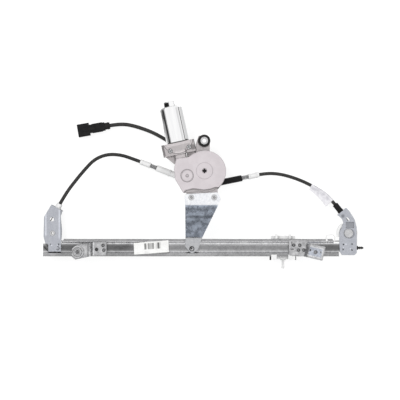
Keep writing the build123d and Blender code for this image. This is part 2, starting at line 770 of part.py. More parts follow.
with BuildPart() as armature_windings:
    for start in (core_start - winding_length, core_start + core_length):
        rod(motor_point(start), motor_axis, winding_radius, winding_length)
        rod(motor_point(start), motor_axis, journal + 0.4, winding_length, mode=Mode.SUBTRACT)
    chamfer(armature_windings.edges().filter_by(GeomType.CIRCLE).filter_by(
        lambda edge: edge.radius > journal + 1), 1.5)
armature_windings.part.label = "armature_windings"
export_step(armature_windings.part, "parts/armature_windings.step")

with BuildPart() as commutator:
    with BuildSketch(motor_plane.offset(commutator_start)):
        Circle(commutator_radius)
        Circle(journal + 0.02, mode=Mode.SUBTRACT)
    extrude(amount=commutator_length)
    with BuildSketch(motor_plane.offset(commutator_start + commutator_length)):
        Circle(commutator_radius + 1.4)
        Circle(journal + 0.02, mode=Mode.SUBTRACT)
    extrude(amount=1.4)
commutator.part.label = "commutator"
export_step(commutator.part, "parts/commutator.step")

brush_gap = 0.1
brush_width = 4.0
brush_height = 5.0
brush_along = brush_room_start + 5.0
holder_inside = commutator_radius + 1.2
holder_start = brush_room_start
holder_length = 14.0
with BuildPart() as brush_holder:
    with BuildSketch(motor_plane.offset(holder_start)):
        Circle(brush_room - seat_gap)
        Circle(holder_inside, mode=Mode.SUBTRACT)
    extrude(amount=holder_length)
    with BuildSketch(motor_plane.offset(brush_along - seat_gap)):
        Rectangle(2 * brush_room - 2.4, brush_height + 2 * seat_gap)
    extrude(amount=brush_width + 2 * seat_gap, mode=Mode.SUBTRACT)
brush_holder.part.label = "brush_holder"
export_step(brush_holder.part, "parts/brush_holder.step")

with BuildPart() as carbon_brushes:
    with BuildSketch(motor_plane.offset(brush_along)):
        with Locations((commutator_radius + brush_gap, 0)):
            Rectangle(brush_room - commutator_radius - 1.4, brush_height,
                      align=(Align.MIN, Align.CENTER))
        with Locations((-commutator_radius - brush_gap, 0)):
            Rectangle(brush_room - commutator_radius - 1.4, brush_height,
                      align=(Align.MAX, Align.CENTER))
        Circle(commutator_radius + brush_gap, mode=Mode.SUBTRACT)
    extrude(amount=brush_width)
carbon_brushes.part.label = "carbon_brushes"
export_step(carbon_brushes.part, "parts/carbon_brushes.step")

magnet_start = block_end + 6.6
magnet_length = can_length - 15.6
magnet_inside = core_radius + 0.9
magnet_reach = 11.5         # half height of a magnet
with BuildPart() as motor_magnets:
    with BuildSketch(motor_plane.offset(magnet_start)):
        Circle(can_radius - can_sheet - seat_gap)
        Circle(magnet_inside, mode=Mode.SUBTRACT)
        Rectangle(2 * can_radius, 2 * magnet_reach, mode=Mode.INTERSECT)
        Rectangle(9, 3 * magnet_reach, mode=Mode.SUBTRACT)
    extrude(amount=magnet_length)
motor_magnets.part.label = "motor_magnets"
export_step(motor_magnets.part, "parts/motor_magnets.step")

with BuildPart() as motor_screws:
    for side, along in motor_screw_places:
        place = motor_point(along, side, block_high)
        under_head = block_high - motor_screw_pocket
        post(place.X, place.Y, block_high - motor_screw_length, under_head, motor_screw_radius)
        post(place.X, place.Y, under_head, block_high + 0.6, motor_screw_head)
        with Locations((place.X, place.Y, block_high + 0.6)):
            Box(0.9, 2 * motor_screw_head - 1.2, 1.6, rotation=(0, 0, 30), mode=Mode.SUBTRACT)
            Box(2 * motor_screw_head - 1.2, 0.9, 1.6, rotation=(0, 0, 30), mode=Mode.SUBTRACT)
motor_screws.part.label = "motor_screws"
export_step(motor_screws.part, "parts/motor_screws.step")

# Rivet that ties the sheet bracket to the rail
rivet_place = (-20.3, -124.4)
rivet_radius = 1.9
rivet_head = 2.9

# Rail
with BuildPart() as rail:
    with BuildSketch(Plane.YZ.offset(rail_left)):
        with BuildLine() as front_line:
            FilletPolyline((rail_bottom, rail_front), (rail_axis - web_half - bend_width, rail_front),
                           (rail_axis - web_half, web_front), (rail_axis + web_half, web_front),
                           (rail_axis + web_half + bend_width, rail_front), (rail_top, rail_front),
                           (rail_top, rail_front - lip_depth), radius=rail_bend_radius)
            offset(amount=rail_sheet, side=Side.RIGHT)
        make_face()
    extrude(amount=rail_length)
    # The top flange stops short of both ends, with a sloping cut on the left
    with BuildSketch(Plane.XY):
        with BuildLine():
            Polyline((rail_left - 1, web_top - flange_cut), (top_flange[0] - 5, web_top - flange_cut),
                     (top_flange[0], rail_top), (top_flange[0], rail_top + 1),
                     (rail_left - 1, rail_top + 1), close=True)
        make_face()
        with BuildLine():
            Polyline((top_flange[1], rail_top + 1), (top_flange[1] + 3, web_top - flange_cut),
                     (rail_right + 1, web_top - flange_cut), (rail_right + 1, rail_top + 1), close=True)
        make_face()
    extrude(amount=rail_front + 1, mode=Mode.SUBTRACT)
    block((low_flange_end, rail_right + 1), (rail_bottom - 1, rail_axis - web_half + flange_cut),
          (0, rail_front + 1), mode=Mode.SUBTRACT)
    post(*rivet_place, 0, rail_front, rivet_radius + seat_gap, mode=Mode.SUBTRACT)
rail.part.label = "rail"
export_step(rail.part, "parts/rail.step")

# End brackets: a plate on the rail's web, rims along its sides, and a tab that holds the ferrule
tab_left = (-11.1, 9.3)     # reach of the left tab to both sides of the cable
tab_right = (-7.7, 10.4)
tab_corner = 4.0
clinch_radius = 1.3
bend_room = 0.8             # between what stands on the web and the web's bends
foot_top = web_top - bend_room
foot_low = rail_axis - web_half + bend_room
rim_low = web_front - rim_depth


def beside(exit_at, axis, reach, back=0.0):
    """Point on a tab, so far to the side of the cable, as x and y."""
    spot = exit_at + axis.cross(UP) * reach - axis * back
    return spot.X, spot.Y


def ferrule_tab(exit_at, axis, reach, rounded):
    """Tab square to the cable, down to the ground, with its hole and two corners rounded.

    The corners lie at one end of an axis of the tab's own plane: X is up and Y is across.
    """
    with BuildSketch(facing(exit_at, axis)) as tab:
        with Locations((-cable_height, 0)):
            with Locations((0, (reach[0] + reach[1]) / 2)):
                Rectangle(plate_front, reach[1] - reach[0], align=(Align.MIN, Align.CENTER))
        fillet(tab.vertices().group_by(rounded[0])[rounded[1]], tab_corner)
        Circle(ferrule_neck + seat_gap, mode=Mode.SUBTRACT)
    extrude(tab.sketch, amount=-plate_sheet)


def side_rims(outline, window):
    """Rims folded back along a plate's outline, kept inside a window of x and y limits."""
    with BuildSketch(Plane.XY.offset(rim_low)) as rim:
        add(outline.sketch.moved(Location((0, 0, -rim_depth))))
        offset(outline.sketch.moved(Location((0, 0, -rim_depth))), amount=-plate_sheet,
               mode=Mode.SUBTRACT)
        with Locations(((window[0] + window[1]) / 2, (window[2] + window[3]) / 2)):
            Rectangle(window[1] - window[0], window[3] - window[2], mode=Mode.INTERSECT)
    extrude(rim.sketch, amount=rim_depth)


left_half = 14.2
left_hole = (left_pulley_x - 0.7, pulley_y + 22.3)
left_hole_radius = 3.3
left_foot_sides = (left_pulley_x - 6.7, left_pulley_x + 13.9)
left_clinches = [(9.9, -17.7), (8.9, -21.5), (7.9, -25.7), (11.3, -24.3)]      # from the pulley
with BuildSketch(Plane.XY.offset(web_front)) as left_outline:
    with BuildLine():
        FilletPolyline(beside(left_exit, left_axis, tab_left[0]), beside(left_exit, left_axis, tab_left[1]),
                       (left_pulley_x + 13.2, pulley_y + 27.0),
                       (left_pulley_x + left_half + 1.0, pulley_y + 6),
                       (left_pulley_x + left_half + 0.6, pulley_y - 5),
                       (left_foot_sides[1], foot_top + 2), (left_foot_sides[1], foot_low),
                       (left_foot_sides[0], foot_low), (left_foot_sides[0], foot_top - 1.5),
                       (left_pulley_x - 11.4, foot_top + 0.6), (left_pulley_x - left_half, pulley_y - 5.5),
                       (left_pulley_x - 13.4, pulley_y + 26.3), radius=1.2, close=True)
    make_face()

with BuildPart() as left_end_bracket:
    extrude(left_outline.sketch, amount=plate_sheet)
    side_rims(left_outline, (left_pulley_x - 20, left_pulley_x - 9, pulley_y - 11, pulley_y + 34))
    side_rims(left_outline, (left_pulley_x + 9, left_pulley_x + 20, pulley_y - 11, pulley_y + 34))
    ferrule_tab(left_exit, left_axis, tab_left, (Axis.X, 0))
    post(*left_hole, web_front, plate_front, left_hole_radius, mode=Mode.SUBTRACT)
    post(left_pulley_x, pulley_y, web_front, plate_front, ferrule_neck + seat_gap, mode=Mode.SUBTRACT)
    for x, y in left_clinches:
        post(left_pulley_x + x, pulley_y + y, plate_front - press_depth, plate_front, clinch_radius,
             mode=Mode.SUBTRACT)
left_end_bracket.part.label = "left_end_bracket"
export_step(left_end_bracket.part, "parts/left_end_bracket.step")

right_slot = (right_pulley_x - 1.2, pulley_y + 22.5)
right_slot_size = (7.0, 3.6)
right_recess = ((right_pulley_x - 4.2, right_pulley_x + 8.4), (pulley_y + 8.7, pulley_y + 17.7))
right_clinches = [(-8.2, -17.9), (5.4, -17.5), (-8.8, -25.9), (5.4, -26.7)]    # from the pulley
right_side = right_pulley_x + 13.4
stop_line = (rail_axis - 0.6, 10.0)     # y and z of the end stop's axis
stop_radius = 5.5
lug_half = 5.6
with BuildSketch(Plane.XY.offset(web_front)) as right_outline:
    with BuildLine():
        FilletPolyline(beside(right_exit, right_axis, tab_right[0]),
                       beside(right_exit, right_axis, tab_right[1]),
                       (right_pulley_x + 2.4, pulley_y + 34), (right_pulley_x + 9.5, pulley_y + 22.5),
                       (right_side - 0.4, pulley_y + 10), (right_side, pulley_y - 10),
                       (right_side - 0.2, rail_axis - 8.6), (right_side - 4, rail_axis - 12.2),
                       (right_pulley_x - 10.8, rail_axis - 11.8), (right_pulley_x - 14.1, rail_axis - 6.8),
                       (right_pulley_x - 15.1, rail_axis + 9.6), (right_pulley_x - 14.6, pulley_y + 2.4),
                       (right_pulley_x - 10.8, pulley_y + 10.1), (right_pulley_x - 8.4, pulley_y + 17),
                       (right_pulley_x - 10.6, pulley_y + 23.0), radius=1.1, close=True)
    make_face()
    with Locations(Location(right_slot, right_exit_heading)):
        SlotOverall(*right_slot_size, mode=Mode.SUBTRACT)

lug_back = right_side - 0.2
stop_neck = 1.9
with BuildPart() as right_end_bracket:
    extrude(right_outline.sketch, amount=plate_sheet)
    side_rims(right_outline, (right_pulley_x + 5, right_pulley_x + 20, rail_axis - 8, pulley_y + 20))
    ferrule_tab(right_exit, right_axis, tab_right, (Axis.Y, -1))
    block((lug_back - plate_sheet, lug_back), (stop_line[0] - lug_half, stop_line[0] + lug_half),
          (stop_line[1] - stop_radius, web_front))
    rod(Vector(lug_back - 5, *stop_line), Vector(1, 0, 0), stop_neck + seat_gap, 9, mode=Mode.SUBTRACT)
    post(right_pulley_x, pulley_y, web_front, plate_front, ferrule_neck + seat_gap, mode=Mode.SUBTRACT)
    block(*right_recess, (plate_front - press_depth, plate_front), mode=Mode.SUBTRACT)
    for x, y in right_clinches:
        post(right_pulley_x + x, pulley_y + y, plate_front - press_depth, plate_front, clinch_radius,
             mode=Mode.SUBTRACT)
right_end_bracket.part.label = "right_end_bracket"
export_step(right_end_bracket.part, "parts/right_end_bracket.step")

# Pulleys and the rivets that they turn on
pulley_low = cable_height - pulley_width / 2
pulley_high = cable_height + pulley_width / 2
end_play = 0.1
groove_root = pulley_pitch - wire_radius - groove_depth_gap


def cable_pulley(x):
    """Build a grooved plastic pulley, dished on both faces, with lightening holes."""
    with BuildPart() as pulley:
        post(x, pulley_y, pulley_low, pulley_high, pulley_radius)
        with BuildSketch(Plane(origin=(x, pulley_y, cable_height), x_dir=(1, 0, 0),
                               z_dir=(0, -1, 0))) as groove:
            with BuildLine():
                Polyline((pulley_radius + 0.2, -2.5), (groove_root, -0.95), (groove_root, 0.95),
                         (pulley_radius + 0.2, 2.5), close=True)
            make_face()
        revolve(groove.sketch, axis=Axis((x, pulley_y, 0), (0, 0, 1)), mode=Mode.SUBTRACT)
        for low in (pulley_low, pulley_high - pulley_dish):
            with BuildSketch(Plane.XY.offset(low)) as dish:
                with Locations((x, pulley_y)):
                    Circle(groove_root - 1.4)
                    Circle(pulley_hub, mode=Mode.SUBTRACT)
            extrude(dish.sketch, amount=pulley_dish, mode=Mode.SUBTRACT)
        with Locations((x, pulley_y, pulley_low)):
            with PolarLocations((pulley_hub + groove_root - 1.4) / 2, 5):
                Cylinder(1.3, pulley_width, align=MIN_END, mode=Mode.SUBTRACT)
        post(x, pulley_y, pulley_low, pulley_high, pulley_bore + running_gap, mode=Mode.SUBTRACT)
    return pulley


left_pulley = cable_pulley(left_pulley_x)
left_pulley.part.label = "left_pulley"
export_step(left_pulley.part, "parts/left_pulley.step")

right_pulley = cable_pulley(right_pulley_x)
right_pulley.part.label = "right_pulley"
export_step(right_pulley.part, "parts/right_pulley.step")

rivet_flange = 6.2
flange_sheet = 1.4
shoulder_radius = 5.4


def pulley_rivet(x, head, head_height, bore):
    """Build a shouldered rivet: rear flange, journal, shoulder, neck in the plate and front head."""
    with BuildPart() as rivet:
        post(x, pulley_y, pulley_low - end_play - flange_sheet, pulley_low - end_play, rivet_flange)
        post(x, pulley_y, pulley_low - end_play, pulley_high + end_play, pulley_bore)
        post(x, pulley_y, pulley_high + end_play, web_front, shoulder_radius)
        post(x, pulley_y, web_front, plate_front, ferrule_neck)
        post(x, pulley_y, plate_front, plate_front + head_height, head)
        chamfer(rivet.edges().filter_by(GeomType.CIRCLE).group_by(Axis.Z)[-1], 0.35 * head_height)
        if bore:
            post(x, pulley_y, 0, plate_front + head_height, bore, mode=Mode.SUBTRACT)
    return rivet


eyelet_bore = 1.9
left_pulley_eyelet = pulley_rivet(left_pulley_x, 4.3, 0.7, eyelet_bore)
left_pulley_eyelet.part.label = "left_pulley_eyelet"
export_step(left_pulley_eyelet.part, "parts/left_pulley_eyelet.step")

right_pulley_rivet = pulley_rivet(right_pulley_x, 7.3, 2.0, 0)
right_pulley_rivet.part.label = "right_pulley_rivet"
export_step(right_pulley_rivet.part, "parts/right_pulley_rivet.step")

# White plastic keeper beside the right pulley
keeper_outside = 18.8
with BuildPart() as right_cable_keeper:
    with BuildSketch(Plane.XY.offset(pulley_low)):
        inner = pulley_radius + 0.5
        centre = Vector(right_pulley_x, pulley_y, 0)
        with BuildLine():
            Line(centre + heading(122) * inner, centre + heading(122) * keeper_outside)
            CenterArc(centre, keeper_outside, 122, 78)
            Line(centre + heading(200) * keeper_outside, centre + heading(200) * inner)
            CenterArc(centre, inner, 122, 78)
        make_face()
    extrude(amount=web_front - pulley_low)
right_cable_keeper.part.label = "right_cable_keeper"
export_step(right_cable_keeper.part, "parts/right_cable_keeper.step")

# Ferrules that hold the conduits in the tabs
end_ferrule_radius = 4.6
left_end_ferrule_length = 7.4
right_end_ferrule_length = 15.4


def end_ferrule(exit_at, axis, length, steps):
    """Build a ferrule seated in a tab, with a collar behind the tab and a socket for the conduit."""
    with BuildPart() as ferrule:
        rod(exit_at, axis, end_ferrule_radius, length)
        for start, width, extra in steps:
            rod(exit_at + axis * start, axis, end_ferrule_radius + extra, width)
        rod(exit_at - axis * plate_sheet, axis, ferrule_neck, plate_sheet)
        rod(exit_at - axis * (plate_sheet + 1.6), axis, ferrule_neck + 0.9, 1.6)
        rod(exit_at - axis * 5, axis, wire_radius + wire_gap, length + 5, mode=Mode.SUBTRACT)
        rod(exit_at + axis * (length - ferrule_socket), axis, conduit_radius + seat_gap,
            ferrule_socket, mode=Mode.SUBTRACT)
    return ferrule


left_end_ferrule = end_ferrule(left_exit, left_axis, left_end_ferrule_length, [(0, 1.6, 1.0)])
left_end_ferrule.part.label = "left_end_ferrule"
export_step(left_end_ferrule.part, "parts/left_end_ferrule.step")

right_end_ferrule = end_ferrule(right_exit, right_axis, right_end_ferrule_length, [(0, 3.0, 0.3)])
right_end_ferrule.part.label = "right_end_ferrule"
export_step(right_end_ferrule.part, "parts/right_end_ferrule.step")


# Conduits, each held at both ends
def swept_tube(points, radius):
    """Tube of straight runs joined by tangent arcs, in the piece being built."""
    radii = bend_radii(points)
    print("arc radii", [round(value) for value in radii])
    with BuildLine() as route:
        FilletPolyline(*points, radius=radii)
    path = route.wire()
    with BuildSketch(Plane(origin=path @ 0, z_dir=path % 0)) as section:
        Circle(radius)
    sweep(section.sketch, path=path)
    return path.length


def conduit(points):
    """Build a conduit along its route and compare its volume with its section times its length."""
    with BuildPart() as tube:
        length = swept_tube(points, conduit_radius)
    share = tube.part.volume / (pi * conduit_radius ** 2 * length)
    print("conduit length", round(length, 1), "volume share", round(share, 4))
    return tube


left_conduit_route = [
    left_foot + left_line * (left_ferrule_end - ferrule_socket),
    left_foot + left_line * (left_ferrule_end + 12.0),
    (-134.0, 26.0, 12.5),
    (-156.0, 27.0, 14.0),
    (-176.0, 19.0, 14.0),
    (-191.0, 3.5, 12.8),
    (-207.0, -15.6, 11.4),
    left_exit + left_axis * 26.0,
    left_exit + left_axis * (left_end_ferrule_length - ferrule_socket),
]
left_conduit = conduit(left_conduit_route)
left_conduit.part.label = "left_conduit"
export_step(left_conduit.part, "parts/left_conduit.step")

right_conduit_route = [
    right_foot + right_line * (right_ferrule_end - ferrule_socket),
    right_foot + right_line * (right_ferrule_end + 11.0),
    (120.0, -4.5, 12.5),
    (141.0, -10.0, 14.0),
    (161.0, -17.8, 14.0),
    (181.0, -28.5, 12.6),
    right_exit + right_axis * 33.0,
    right_exit + right_axis * (right_end_ferrule_length - ferrule_socket),
]
right_conduit = conduit(right_conduit_route)
right_conduit.part.label = "right_conduit"
export_step(right_conduit.part, "parts/right_conduit.step")

# Lifting cable: one run along the rail round both pulleys, one across the drum
with BuildPart() as lift_cable:
    with BuildLine(Plane.XY.offset(cable_height)) as rail_run:
        start = left_exit + left_axis * (left_end_ferrule_length - ferrule_socket)
        finish = right_exit + right_axis * (right_end_ferrule_length - ferrule_socket)
        left_turn = CenterArc((left_pulley_x, pulley_y), pulley_pitch, left_exit_heading + 90,
                              180 - left_exit_heading)
        right_turn = CenterArc((right_pulley_x, pulley_y), pulley_pitch, 270, right_exit_heading)
        Line((start.X, start.Y), left_turn @ 0)
        Line(left_turn @ 1, right_turn @ 0)
        Line(right_turn @ 1, (finish.X, finish.Y))
    with BuildSketch(Plane(origin=start, z_dir=-left_axis)) as wire_section:
        Circle(wire_radius)
    sweep(wire_section.sketch, path=rail_run.line)
    with BuildLine(Plane.XY.offset(cable_height)) as drum_run:
        start = left_foot + left_line * (left_ferrule_end - ferrule_socket)
        finish = right_foot + right_line * (right_ferrule_end - ferrule_socket)
        wrap = CenterArc((0, 0), drum_pitch, left_line_heading + 90,
                         right_line_heading + 180 - left_line_heading)
        Line((start.X, start.Y), wrap @ 0)
        Line(wrap @ 1, (finish.X, finish.Y))
    with BuildSketch(Plane(origin=start, z_dir=-left_line)) as drum_section:
        Circle(wire_radius)
    sweep(drum_section.sketch, path=drum_run.line)
lift_cable.part.label = "lift_cable"
export_step(lift_cable.part, "parts/lift_cable.step")

# Window carrier: a plastic slab behind the web whose jaws hook round the rail's lower edge
slab_low = 4.5
slab_high = web_back - 0.3
carrier_x = right_pulley_x - 104.6      # at rest
left_jaw = (carrier_x - 19.3, carrier_x - 10.5)
right_jaw = (carrier_x + 7.9, carrier_x + 19.3)
jaw_out = rail_bottom - 5.3
jaw_lip = rail_front + 0.3
lip_top = 22.8
tongue = (rail_top - 3.9, rail_top - 1.5)
finger = (rail_top + 0.3, rail_top + 7.3)
finger_sides = [(carrier_x - 12.7, carrier_x - 9.0), (carrier_x + 9.2, carrier_x + 12.1)]
finger_top = 20.0
pocket_sides = [(-16.5, -11.0), (-8.0, -5.0), (5.0, 8.0), (11.0, 16.0)]     # from the middle
pocket_line = (rail_axis - 10.4, rail_axis + 4.6)
pocket_depth = 6.0
insert_place = (carrier_x, rail_axis - 1.4)
insert_radius = 4.5
insert_bore = 2.5
insert_depth = 9.0
stud_x = carrier_x - 0.1
stud_radius = 1.95
stud_collar = 2.1           # how far its root stands out round it
stud_bead = 0.5
stud_line = (jaw_out + 0.5, 9.0)        # start in y, height
stud_length = 15.2
nipple_radius = 2.7
nipple_length = 7.0
nipple_starts = (carrier_x - 16.5, carrier_x + 5.5)
wire_channel = 1.15

with BuildPart() as carrier:
    block((left_jaw[0], right_jaw[1]), (jaw_out + 3.3, rail_top + 4.7), (slab_low, slab_high))
    for jaw in (left_jaw, right_jaw):
        with BuildSketch(Plane.YZ.offset(jaw[0])):
            with BuildLine():
                Polyline((jaw_out, slab_low), (jaw_out, lip_top), (rail_bottom + 2.8, lip_top),
                         (rail_bottom + 2.8, jaw_lip), (rail_bottom - 0.3, jaw_lip),
                         (rail_bottom - 0.3, flange_back - 0.3), (rail_bottom + 3.5, flange_back - 0.3),
                         (rail_bottom + 3.5, slab_low), close=True)
            make_face()
        extrude(amount=jaw[1] - jaw[0])
    block((left_jaw[1] - 1, right_jaw[0] + 1), (jaw_out + 0.5, rail_bottom), (slab_low, slab_high - 2.5))
    block((left_jaw[1] - 2, right_jaw[0] + 4), tongue, (slab_high - 1, flange_back - 0.4))
    for sides in finger_sides:
        block(sides, finger, (slab_low, finger_top))
    # Pockets between the ribs on the back, insert hole, cable channel and nipple pockets
    for sides in pocket_sides:
        block((carrier_x + sides[0], carrier_x + sides[1]), pocket_line,
              (slab_low, slab_low + pocket_depth), mode=Mode.SUBTRACT)
    post(*insert_place, slab_low, slab_low + insert_depth, insert_radius + seat_gap, mode=Mode.SUBTRACT)
    rod(Vector(left_jaw[0] - 1, cable_line, cable_height), Vector(1, 0, 0), wire_channel,
        right_jaw[1] - left_jaw[0] + 2, mode=Mode.SUBTRACT)
    for x in nipple_starts:
        rod(Vector(x - seat_gap, cable_line, cable_height), Vector(1, 0, 0), nipple_radius + seat_gap,
            nipple_length + 2 * seat_gap, mode=Mode.SUBTRACT)
        block((x - seat_gap, x + nipple_length + seat_gap),
              (cable_line - nipple_radius - seat_gap, cable_line + nipple_radius + seat_gap),
              (slab_low, cable_height), mode=Mode.SUBTRACT)
    rod(Vector(stud_x, *stud_line), Vector(0, -1, 0), stud_radius, stud_length)
    rod(Vector(stud_x, *stud_line), Vector(0, -1, 0), stud_radius + stud_collar, 1.6)
    rod(Vector(stud_x, stud_line[0] - stud_length + 3, stud_line[1]), Vector(0, -1, 0),
        stud_radius + stud_bead, 1.6)
carrier.part.label = "carrier"
export_step(carrier.part, "parts/carrier.step")

with BuildPart() as cable_nipples:
    for x in nipple_starts:
        rod(Vector(x, cable_line, cable_height), Vector(1, 0, 0), nipple_radius, nipple_length)
        rod(Vector(x, cable_line, cable_height), Vector(1, 0, 0), wire_channel, nipple_length,
            mode=Mode.SUBTRACT)
cable_nipples.part.label = "cable_nipples"
export_step(cable_nipples.part, "parts/cable_nipples.step")

with BuildPart() as carrier_insert:
    post(*insert_place, slab_low, slab_low + insert_depth, insert_radius)
    post(*insert_place, slab_low, slab_low + insert_depth, insert_bore, mode=Mode.SUBTRACT)
carrier_insert.part.label = "carrier_insert"
export_step(carrier_insert.part, "parts/carrier_insert.step")

with BuildPart() as carrier_buffers:
    block((left_jaw[0] - 2.2, left_jaw[0]), (jaw_out - 0.6, rail_bottom - 0.5), (6.0, lip_top))
    block((right_jaw[1], right_jaw[1] + 1.2), (jaw_out - 0.6, rail_bottom - 0.5), (6.0, lip_top))
carrier_buffers.part.label = "carrier_buffers"
export_step(carrier_buffers.part, "parts/carrier_buffers.step")

# Sheet bracket that ties the gearbox to the rail
bracket_outline = [(-32.2, -37.1), (20.3, -34.1), (25.9, -44.3), (21.3, -55.5), (-3.7, -106.6),
                   (-10.4, -125.9), (-20.5, -132.9), (-31.2, -120.8), (-30.4, -107.2), (-30.7, -53.4)]
rivet_cup = 4.6
with BuildSketch() as bracket_plan:
    with BuildLine():
        FilletPolyline(*bracket_outline, radius=2.4, close=True)
    make_face()

with BuildPart() as motor_bracket:
    with BuildSketch(Plane.YZ.offset(-40)):
        with BuildLine() as bracket_line:
            FilletPolyline((-30, bracket_top), (-54, bracket_top), (rail_top + 1.7, rail_front),
                           (rail_bottom, rail_front), radius=4.0)
            offset(amount=bracket_sheet, side=Side.RIGHT)
        make_face()
    extrude(amount=80)
    extrude(bracket_plan.sketch, amount=60, mode=Mode.INTERSECT)
    pressed_cup(*rivet_place, web_front, rail_front + bracket_sheet, rivet_cup, bracket_sheet)
    post(*rivet_place, web_front, rail_front, rivet_radius + seat_gap, mode=Mode.SUBTRACT)
    for x, y in bracket_screws:
        post(x, y, bracket_top, bracket_top + bracket_sheet, screw_radius + seat_gap, mode=Mode.SUBTRACT)
motor_bracket.part.label = "motor_bracket"
export_step(motor_bracket.part, "parts/motor_bracket.step")

with BuildPart() as motor_bracket_screws:
    for x, y in bracket_screws:
        under_head = bracket_top + bracket_sheet
        post(x, y, bracket_top - screw_depth, under_head, screw_radius)
        post(x, y, under_head, under_head + 1.8, screw_head)
        with BuildSketch(Plane.XY.offset(under_head + 1.8)):
            with Locations((x, y)):
                RegularPolygon(2.0, 6)
        extrude(amount=-1.2, mode=Mode.SUBTRACT)
motor_bracket_screws.part.label = "motor_bracket_screws"
export_step(motor_bracket_screws.part, "parts/motor_bracket_screws.step")

with BuildPart() as motor_bracket_rivet:
    post(*rivet_place, web_back, web_front + bracket_sheet, rivet_radius)
    post(*rivet_place, web_front + bracket_sheet, web_front + bracket_sheet + 0.9, rivet_head)
motor_bracket_rivet.part.label = "motor_bracket_rivet"
export_step(motor_bracket_rivet.part, "parts/motor_bracket_rivet.step")

# Mount brackets on the rail: cups stand on the web, so the carrier's lip can pass under the plate
mount_sheet = 2.0
mount_low = lip_top + 0.4
nut_low = 31.0              # back of the raised plates
cup_radius = 3.0
cup_sheet = 1.2
mount_bend = 2.6
mount_reach = 25.0          # how far each blank reaches from the rail's centre line
raised_front = nut_low + mount_sheet
mount_front = mount_low + mount_sheet
left_cups = on_rail(left_mount_x, [(9.6, -2.8), (19.8, 3.6), (21.0, -4.0)])
nut_place = on_rail(left_mount_x, [(-20.4, -6.8)])[0]
nut_bore = 3.3
pin_bore = 1.3
with BuildSketch() as left_mount_plan:
    with BuildLine():
        FilletPolyline(*on_rail(left_mount_x, [
            (26.0, 9.0), (4.0, 9.0), (-5.5, 6.1), (-21.0, 5.1), (-29.5, -1.4), (-29.5, -14.4),
            (-24.0, -18.9), (-5.5, -14.9), (4.0, -12.6), (26.0, -12.6)]),
            radius=1.6, close=True)
    make_face()

with BuildPart() as left_mount_bracket:
    with BuildSketch(Plane(origin=(left_mount_x, rail_axis + mount_reach, 0), x_dir=(1, 0, 0),
                           z_dir=(0, -1, 0))):
        with BuildLine():
            FilletPolyline((32, mount_low), (3.0, mount_low), (-4.0, nut_low), (-33, nut_low),
                           radius=mount_bend)
            offset(amount=mount_sheet, side=Side.RIGHT)
        make_face()
    extrude(amount=2 * mount_reach)
    extrude(left_mount_plan.sketch, amount=raised_front, mode=Mode.INTERSECT)
    for x, y in left_cups:
        pressed_cup(x, y, web_front, mount_front, cup_radius, cup_sheet)
    post(*left_cups[0], web_front, mount_front, pin_bore, mode=Mode.SUBTRACT)
    post(*nut_place, nut_low, raised_front, nut_bore + 0.2, mode=Mode.SUBTRACT)
left_mount_bracket.part.label = "left_mount_bracket"
export_step(left_mount_bracket.part, "parts/left_mount_bracket.step")

nut_height = 6.0
nut_half = 6.4              # half its width across flats
nut_collar = (8.6, 1.6)     # radius and height
with BuildPart() as left_mount_nut:
    post(*nut_place, raised_front, raised_front + nut_collar[1], nut_collar[0])
    with BuildSketch(Plane.XY.offset(raised_front)):
        with Locations(nut_place):
            RegularPolygon(nut_half, 6, major_radius=False)
    extrude(amount=nut_height)
    post(*nut_place, nut_low, raised_front + nut_height, nut_bore, mode=Mode.SUBTRACT)
left_mount_nut.part.label = "left_mount_nut"
export_step(left_mount_nut.part, "parts/left_mount_nut.step")

locating_bore = 1.6
small_bore = 1.2
right_cups = on_rail(right_mount_x, [(-21.3, 4.0), (-11.7, 3.8), (-13.8, -4.0), (-5.4, -3.8)])
fold_lean = -12.0           # the fold between the two plates is this far off square
with BuildSketch() as right_mount_plan:
    with BuildLine():
        FilletPolyline(*on_rail(right_mount_x, [
            (-29.1, 12.6), (-1.5, 12.1), (1.5, 6.4), (29.3, 1.6), (24.0, -20.9), (-5.5, -13.9),
            (-29.1, -11.4)]), radius=1.4, close=True)
    make_face()

with BuildPart() as right_mount_bracket:
    fold = heading(fold_lean)
    with BuildSketch(Plane(origin=(*on_rail(right_mount_x, [(0, -3.4)])[0], 0), x_dir=fold,
                           z_dir=fold.cross(UP))):
        with BuildLine():
            FilletPolyline((-35, mount_low), (-2.0, mount_low), (4.0, nut_low), (35, nut_low),
                           radius=mount_bend)
            offset(amount=mount_sheet, side=Side.LEFT)
        make_face()
    extrude(amount=1.2 * mount_reach, both=True)
    extrude(right_mount_plan.sketch, amount=raised_front, mode=Mode.INTERSECT)
    for x, y in right_cups:
        pressed_cup(x, y, web_front, mount_front, cup_radius, cup_sheet)
    with BuildSketch():
        with Locations(*on_rail(right_mount_x, [(-24.2, -2.4)])):
            SlotOverall(5.0, 2.0)
        with Locations(*on_rail(right_mount_x, [(-24.5, 6.6)])):
            SlotOverall(6.0, 1.2, rotation=90)
        with Locations(right_mount_hole):
            Circle(right_mount_bore)
        with Locations(*on_rail(right_mount_x, [(4.6, -3.8)])):
            Circle(locating_bore)
        with Locations(*on_rail(right_mount_x, [(21.3, -7.0)])):
            Circle(small_bore)
    extrude(amount=raised_front, mode=Mode.SUBTRACT)
right_mount_bracket.part.label = "right_mount_bracket"
export_step(right_mount_bracket.part, "parts/right_mount_bracket.step")

